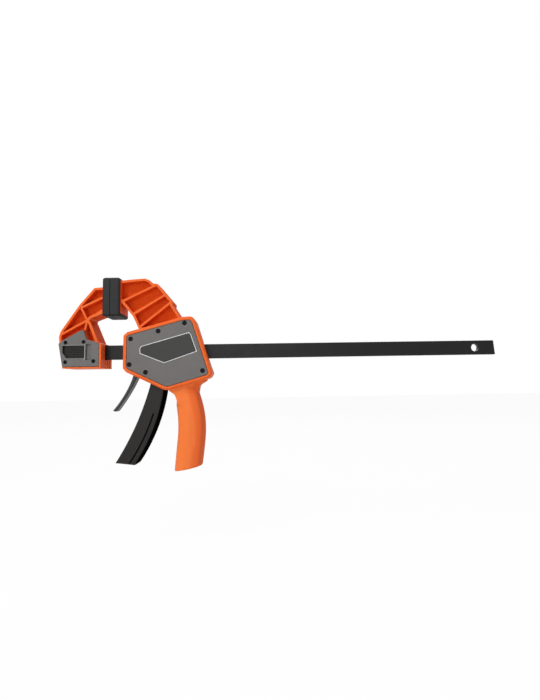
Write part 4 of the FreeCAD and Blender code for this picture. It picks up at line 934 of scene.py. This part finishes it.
class CLAMP_OT_covers(bpy.types.Operator):
    """Finish the two grey covers"""

    bl_idname = "clamp.covers"
    bl_label = "Covers"

    def execute(self, context):
        look = context.scene.clamp_look
        grey = moulded_plastic("grey_abs_moulded", look.cover_grey, look.cover_grey_deep,
                               ABS_GRAIN_MM, 0.55, 0.25)
        ease("body_cover", look.cover_easing, [grey])
        cover = ease("fixed_jaw_cover", look.cover_easing, [grey])
        # The cover's raised lips get painted highlights: brighter at the window's right side,
        # dimmer above and below it
        bright = moulded_plastic("grey_abs_painted_highlight", look.lip_grey_highlight, look.lip_grey_highlight,
                                 ABS_GRAIN_MM, 0.3)
        dull = moulded_plastic("grey_abs_dim_painted_highlight", look.lip_grey_dim_highlight, look.lip_grey_dim_highlight,
                               ABS_GRAIN_MM, 0.4, 0.4)
        on_lip = raised_test(cover)
        lips = [v.co.x for v in cover.data.vertices if on_lip(None, [v.co])]
        highlight_from = max(lips) - LIP_WIDTH
        repaint(cover, dull, on_lip)
        repaint(cover, bright, lambda face, corners: (
            on_lip(face, corners) and min(c.x for c in corners) > highlight_from))
        return {"FINISHED"}


class CLAMP_OT_label(bpy.types.Operator):
    """Finish the plain label plate with its pale border"""

    bl_idname = "clamp.label"
    bl_label = "Label plate"

    def execute(self, context):
        field = printed_film("label_film_dark", linear("#1B1A19"), linear("#242322"))
        border = moulded_plastic("label_border_pale", linear("#C9CACB"), linear("#BDBEBF"),
                                 FILM_GRAIN_MM, 0.4)
        label = ease("label_plate", LABEL_EASING, [field])
        repaint(label, border, raised_test(label))
        return {"FINISHED"}


class CLAMP_OT_screws(bpy.types.Operator):
    """Make the cover screws of both jaws"""

    bl_idname = "clamp.screws"
    bl_label = "Cover screws"

    def execute(self, context):
        black = black_oxide("screw_steel_blackened", linear("#0C0C0D"), linear("#151516"),
                            EVEN_LINES)
        tree = screw_tree(black)
        for node in ("body_cover_screws", "fixed_jaw_screws"):
            boxes = islands(node)
            points = []
            for low, high in boxes:
                middle = (low + high) / 2
                points.append((middle.x, low.y + HEAD_HEIGHT, middle.z))
            low, high = boxes[0]
            mesh = run_tree(node + "_run", tree, {"Head Radius": (high.x - low.x) / 2}, points)
            shade(mesh)
            new_piece(node + "_lobed", mesh, node)
        return {"FINISHED"}


class CLAMP_OT_pads(bpy.types.Operator):
    """Finish the two rubber pads"""

    bl_idname = "clamp.pads"
    bl_label = "Rubber pads"

    def execute(self, context):
        look = context.scene.clamp_look
        rubber = soft_rubber("pad_rubber_moulded", look.rubber, look.rubber_worn)
        for node in ("fixed_jaw_pad", "moving_jaw_pad"):
            ease(node, look.pad_easing, [rubber], FINE_STEPS)
        return {"FINISHED"}


class CLAMP_OT_controls(bpy.types.Operator):
    """Finish the rocker, the trigger and the release lever"""

    bl_idname = "clamp.controls"
    bl_label = "Rocker, trigger and lever"

    def execute(self, context):
        look = context.scene.clamp_look
        charcoal = moulded_plastic("charcoal_nylon_moulded", look.charcoal, look.charcoal_deep,
                                   FINE_GRAIN_MM, 0.5, 0.2)
        lever = moulded_plastic("lever_grey_moulded", look.lever_grey, look.lever_grey_deep,
                                FINE_GRAIN_MM, 0.42, 0.3)
        # Painted shade: a near-black charcoal without gloss on the trigger's rear faces and its
        # groove
        rear = moulded_plastic("charcoal_nylon_painted_shade", linear("#0B0A0A"), linear("#090808"),
                               SHADED_REAR_GRAIN_MM, 0.8, 0.0)
        ease("jaw_release_button", look.cover_easing, [charcoal])
        ease("release_lever", look.lever_easing, [lever])
        trigger = ease("trigger", look.trigger_easing, [charcoal], FINE_STEPS)
        repaint(trigger, rear, in_painted_shade)
        return {"FINISHED"}


class CLAMP_OT_bar(bpy.types.Operator):
    """Finish the bar"""

    bl_idname = "clamp.bar"
    bl_label = "Steel bar"

    def execute(self, context):
        look = context.scene.clamp_look
        steel = black_oxide("bar_steel_blackened", look.steel_black, look.steel_black_worn,
                            DRAWN_LINES)
        ease("bar", look.bar_easing, [steel], FINE_STEPS)
        return {"FINISHED"}


class CLAMP_OT_mechanism(bpy.types.Operator):
    """Finish the steel plates, pins, guides and springs inside the jaws"""

    bl_idname = "clamp.mechanism"
    bl_label = "Mechanism"

    def execute(self, context):
        plate = ground_steel("plate_steel_ground", linear("#A7A6A3"), PLATE_LINE_MM,
                             UPRIGHT_LINES)
        pin = ground_steel("pin_steel_ground", linear("#B4B3B0"), PIN_LINE_MM, ACROSS_LINES)
        wire = ground_steel("spring_wire_drawn", linear("#8E8D8B"), WIRE_LINE_MM, EVEN_LINES)
        guide = moulded_plastic("guide_acetal_moulded", linear("#1E1E1F"), linear("#191919"),
                                FINE_GRAIN_MM, 0.35)
        for nodes, width, finish in (
                (("brake_plate", "drive_plates", "drive_washer"), PLATE_EASING, plate),
                (("jaw_lock_pin", "button_pivot_pin", "trigger_pin"), PIN_EASING, pin),
                (("front_bar_guide", "rear_bar_guide"), PLATE_EASING, guide)):
            for node in nodes:
                ease(node, width, [finish])
        tree = spring_tree(wire)
        for node in SPRINGS:
            add_spring(node, tree)
        return {"FINISHED"}


class CLAMP_OT_stage(bpy.types.Operator):
    """Set the camera, the lamps, the floor and the pale surround"""

    bl_idname = "clamp.stage"
    bl_label = "Stage"

    def execute(self, context):
        scene = context.scene
        add_camera(scene)
        add_floor(CAD_BOX[0].z - scene.clamp_look.floor_drop)
        add_surround(scene)
        for name, spot, size, power in LAMPS:
            lamp = bpy.data.lights.new(name, "AREA")
            lamp.size = size
            lamp.energy = power
            thing = placed(name, lamp)
            thing.location = spot
            thing.rotation_mode = "QUATERNION"
            away = Vector(spot) - Vector(LAMPS_AIM)
            thing.rotation_quaternion = away.to_track_quat("Z", "Y")
        scene.view_settings.view_transform = "Standard"
        return {"FINISHED"}


def add_camera(scene):
    """Set the camera at the photograph's angle."""
    camera = placed("camera", bpy.data.cameras.new("camera"))
    camera.data.sensor_width = CAMERA_SENSOR
    camera.data.lens = CAMERA_LENS
    camera.data.clip_start = CAMERA_NEAR
    yaw, tilt, roll = (math.radians(turn) for turn in (CAMERA_YAW, CAMERA_TILT, CAMERA_ROLL))
    level = Vector((math.sin(yaw), math.cos(yaw), 0)) * math.cos(tilt)
    ahead = level + Vector((0, 0, math.sin(tilt)))
    right = ahead.cross(Vector((0, 0, 1))).normalized()
    up = right.cross(ahead)
    rolled_right = math.cos(roll) * right + math.sin(roll) * up
    rolled_up = math.cos(roll) * up - math.sin(roll) * right
    turn = Matrix((rolled_right, rolled_up, -ahead)).transposed()
    camera.matrix_world = Matrix.Translation(CAMERA_PLACE) @ turn.to_4x4()
    scene.camera = camera


def add_floor(level):
    """Lay a pale sheet under the clamp, at a level."""
    mesh = bpy.data.meshes.new("floor")
    corners = [(-1, -1), (1, -1), (1, 1), (-1, 1)]
    mesh.from_pydata([(x * FLOOR_REACH, y * FLOOR_REACH, level) for x, y in corners], [],
                     [(0, 1, 2, 3)])
    mesh.materials.append(pale_floor())
    placed("floor", mesh)


def add_surround(scene):
    """Light the clamp softly from all round, and show plain white behind it."""
    world = bpy.data.worlds.new("surround")
    scene.world = world
    world.use_nodes = True
    tree = world.node_tree
    tree.nodes.clear()
    plain = add(tree, "ShaderNodeBackground", {"Color": WHITE, "Strength": SURROUND_LIGHT})
    white = add(tree, "ShaderNodeBackground", {"Color": WHITE, "Strength": 1.0})
    mixed = add(tree, "ShaderNodeMixShader", {0: seen_rays(tree), 1: plain.outputs[0],
                                              2: white.outputs[0]})
    add(tree, "ShaderNodeOutputWorld", {"Surface": mixed.outputs[0]})


def seen_rays(tree):
    """One for the rays that look at the surround: from the camera, off gloss or through glass."""
    path = add(tree, "ShaderNodeLightPath").outputs
    either = maths(tree, "MAXIMUM", path["Is Camera Ray"], path["Is Glossy Ray"])
    return maths(tree, "MAXIMUM", either, path["Is Transmission Ray"])


def pale_floor():
    """A matt white sheet that goes to plain white for the camera but keeps the clamp's shadow."""
    material = bpy.data.materials.new("floor_sheet_matt")
    material.use_nodes = True
    tree = material.node_tree
    tree.nodes.clear()
    matt = add(tree, "ShaderNodeBsdfDiffuse", {"Color": FLOOR_GREY})
    glow = add(tree, "ShaderNodeEmission", {"Color": WHITE, "Strength": 1.0})
    share = maths(tree, "MULTIPLY", seen_rays(tree), FLOOR_GLOW)
    mixed = add(tree, "ShaderNodeMixShader", {0: share, 1: matt.outputs[0], 2: glow.outputs[0]})
    add(tree, "ShaderNodeOutputMaterial", {"Surface": mixed.outputs[0]})
    return material


OPERATORS = (CLAMP_OT_stage, CLAMP_OT_bar, CLAMP_OT_mouldings, CLAMP_OT_covers,
             CLAMP_OT_label, CLAMP_OT_screws, CLAMP_OT_pads, CLAMP_OT_controls,
             CLAMP_OT_mechanism)


class CLAMP_PT_panel(bpy.types.Panel):
    """The clamp's sizes, colours and pieces"""

    bl_label = "Bar clamp"
    bl_idname = "CLAMP_PT_panel"
    bl_space_type = "VIEW_3D"
    bl_region_type = "UI"
    bl_category = "Clamp"

    def draw(self, context):
        look = context.scene.clamp_look
        for name in look.bl_rna.properties.keys():
            if name not in ("rna_type", "name"):
                self.layout.prop(look, name)
        for operator in OPERATORS:
            self.layout.operator(operator.bl_idname)


CLASSES = (ClampLook,) + OPERATORS + (CLAMP_PT_panel,)


def register():
    """Register the classes and the scene's settings."""
    for made in CLASSES:
        bpy.utils.register_class(made)
    bpy.types.Scene.clamp_look = bpy.props.PointerProperty(type=ClampLook)


def unregister():
    """Undo what register did."""
    del bpy.types.Scene.clamp_look
    for made in reversed(CLASSES):
        bpy.utils.unregister_class(made)


def main():
    """Build the look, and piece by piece."""
    register()
    for operator in OPERATORS:
        group, name = operator.bl_idname.split(".")
        getattr(getattr(bpy.ops, group), name)()


if __name__ == "__main__":
    main()
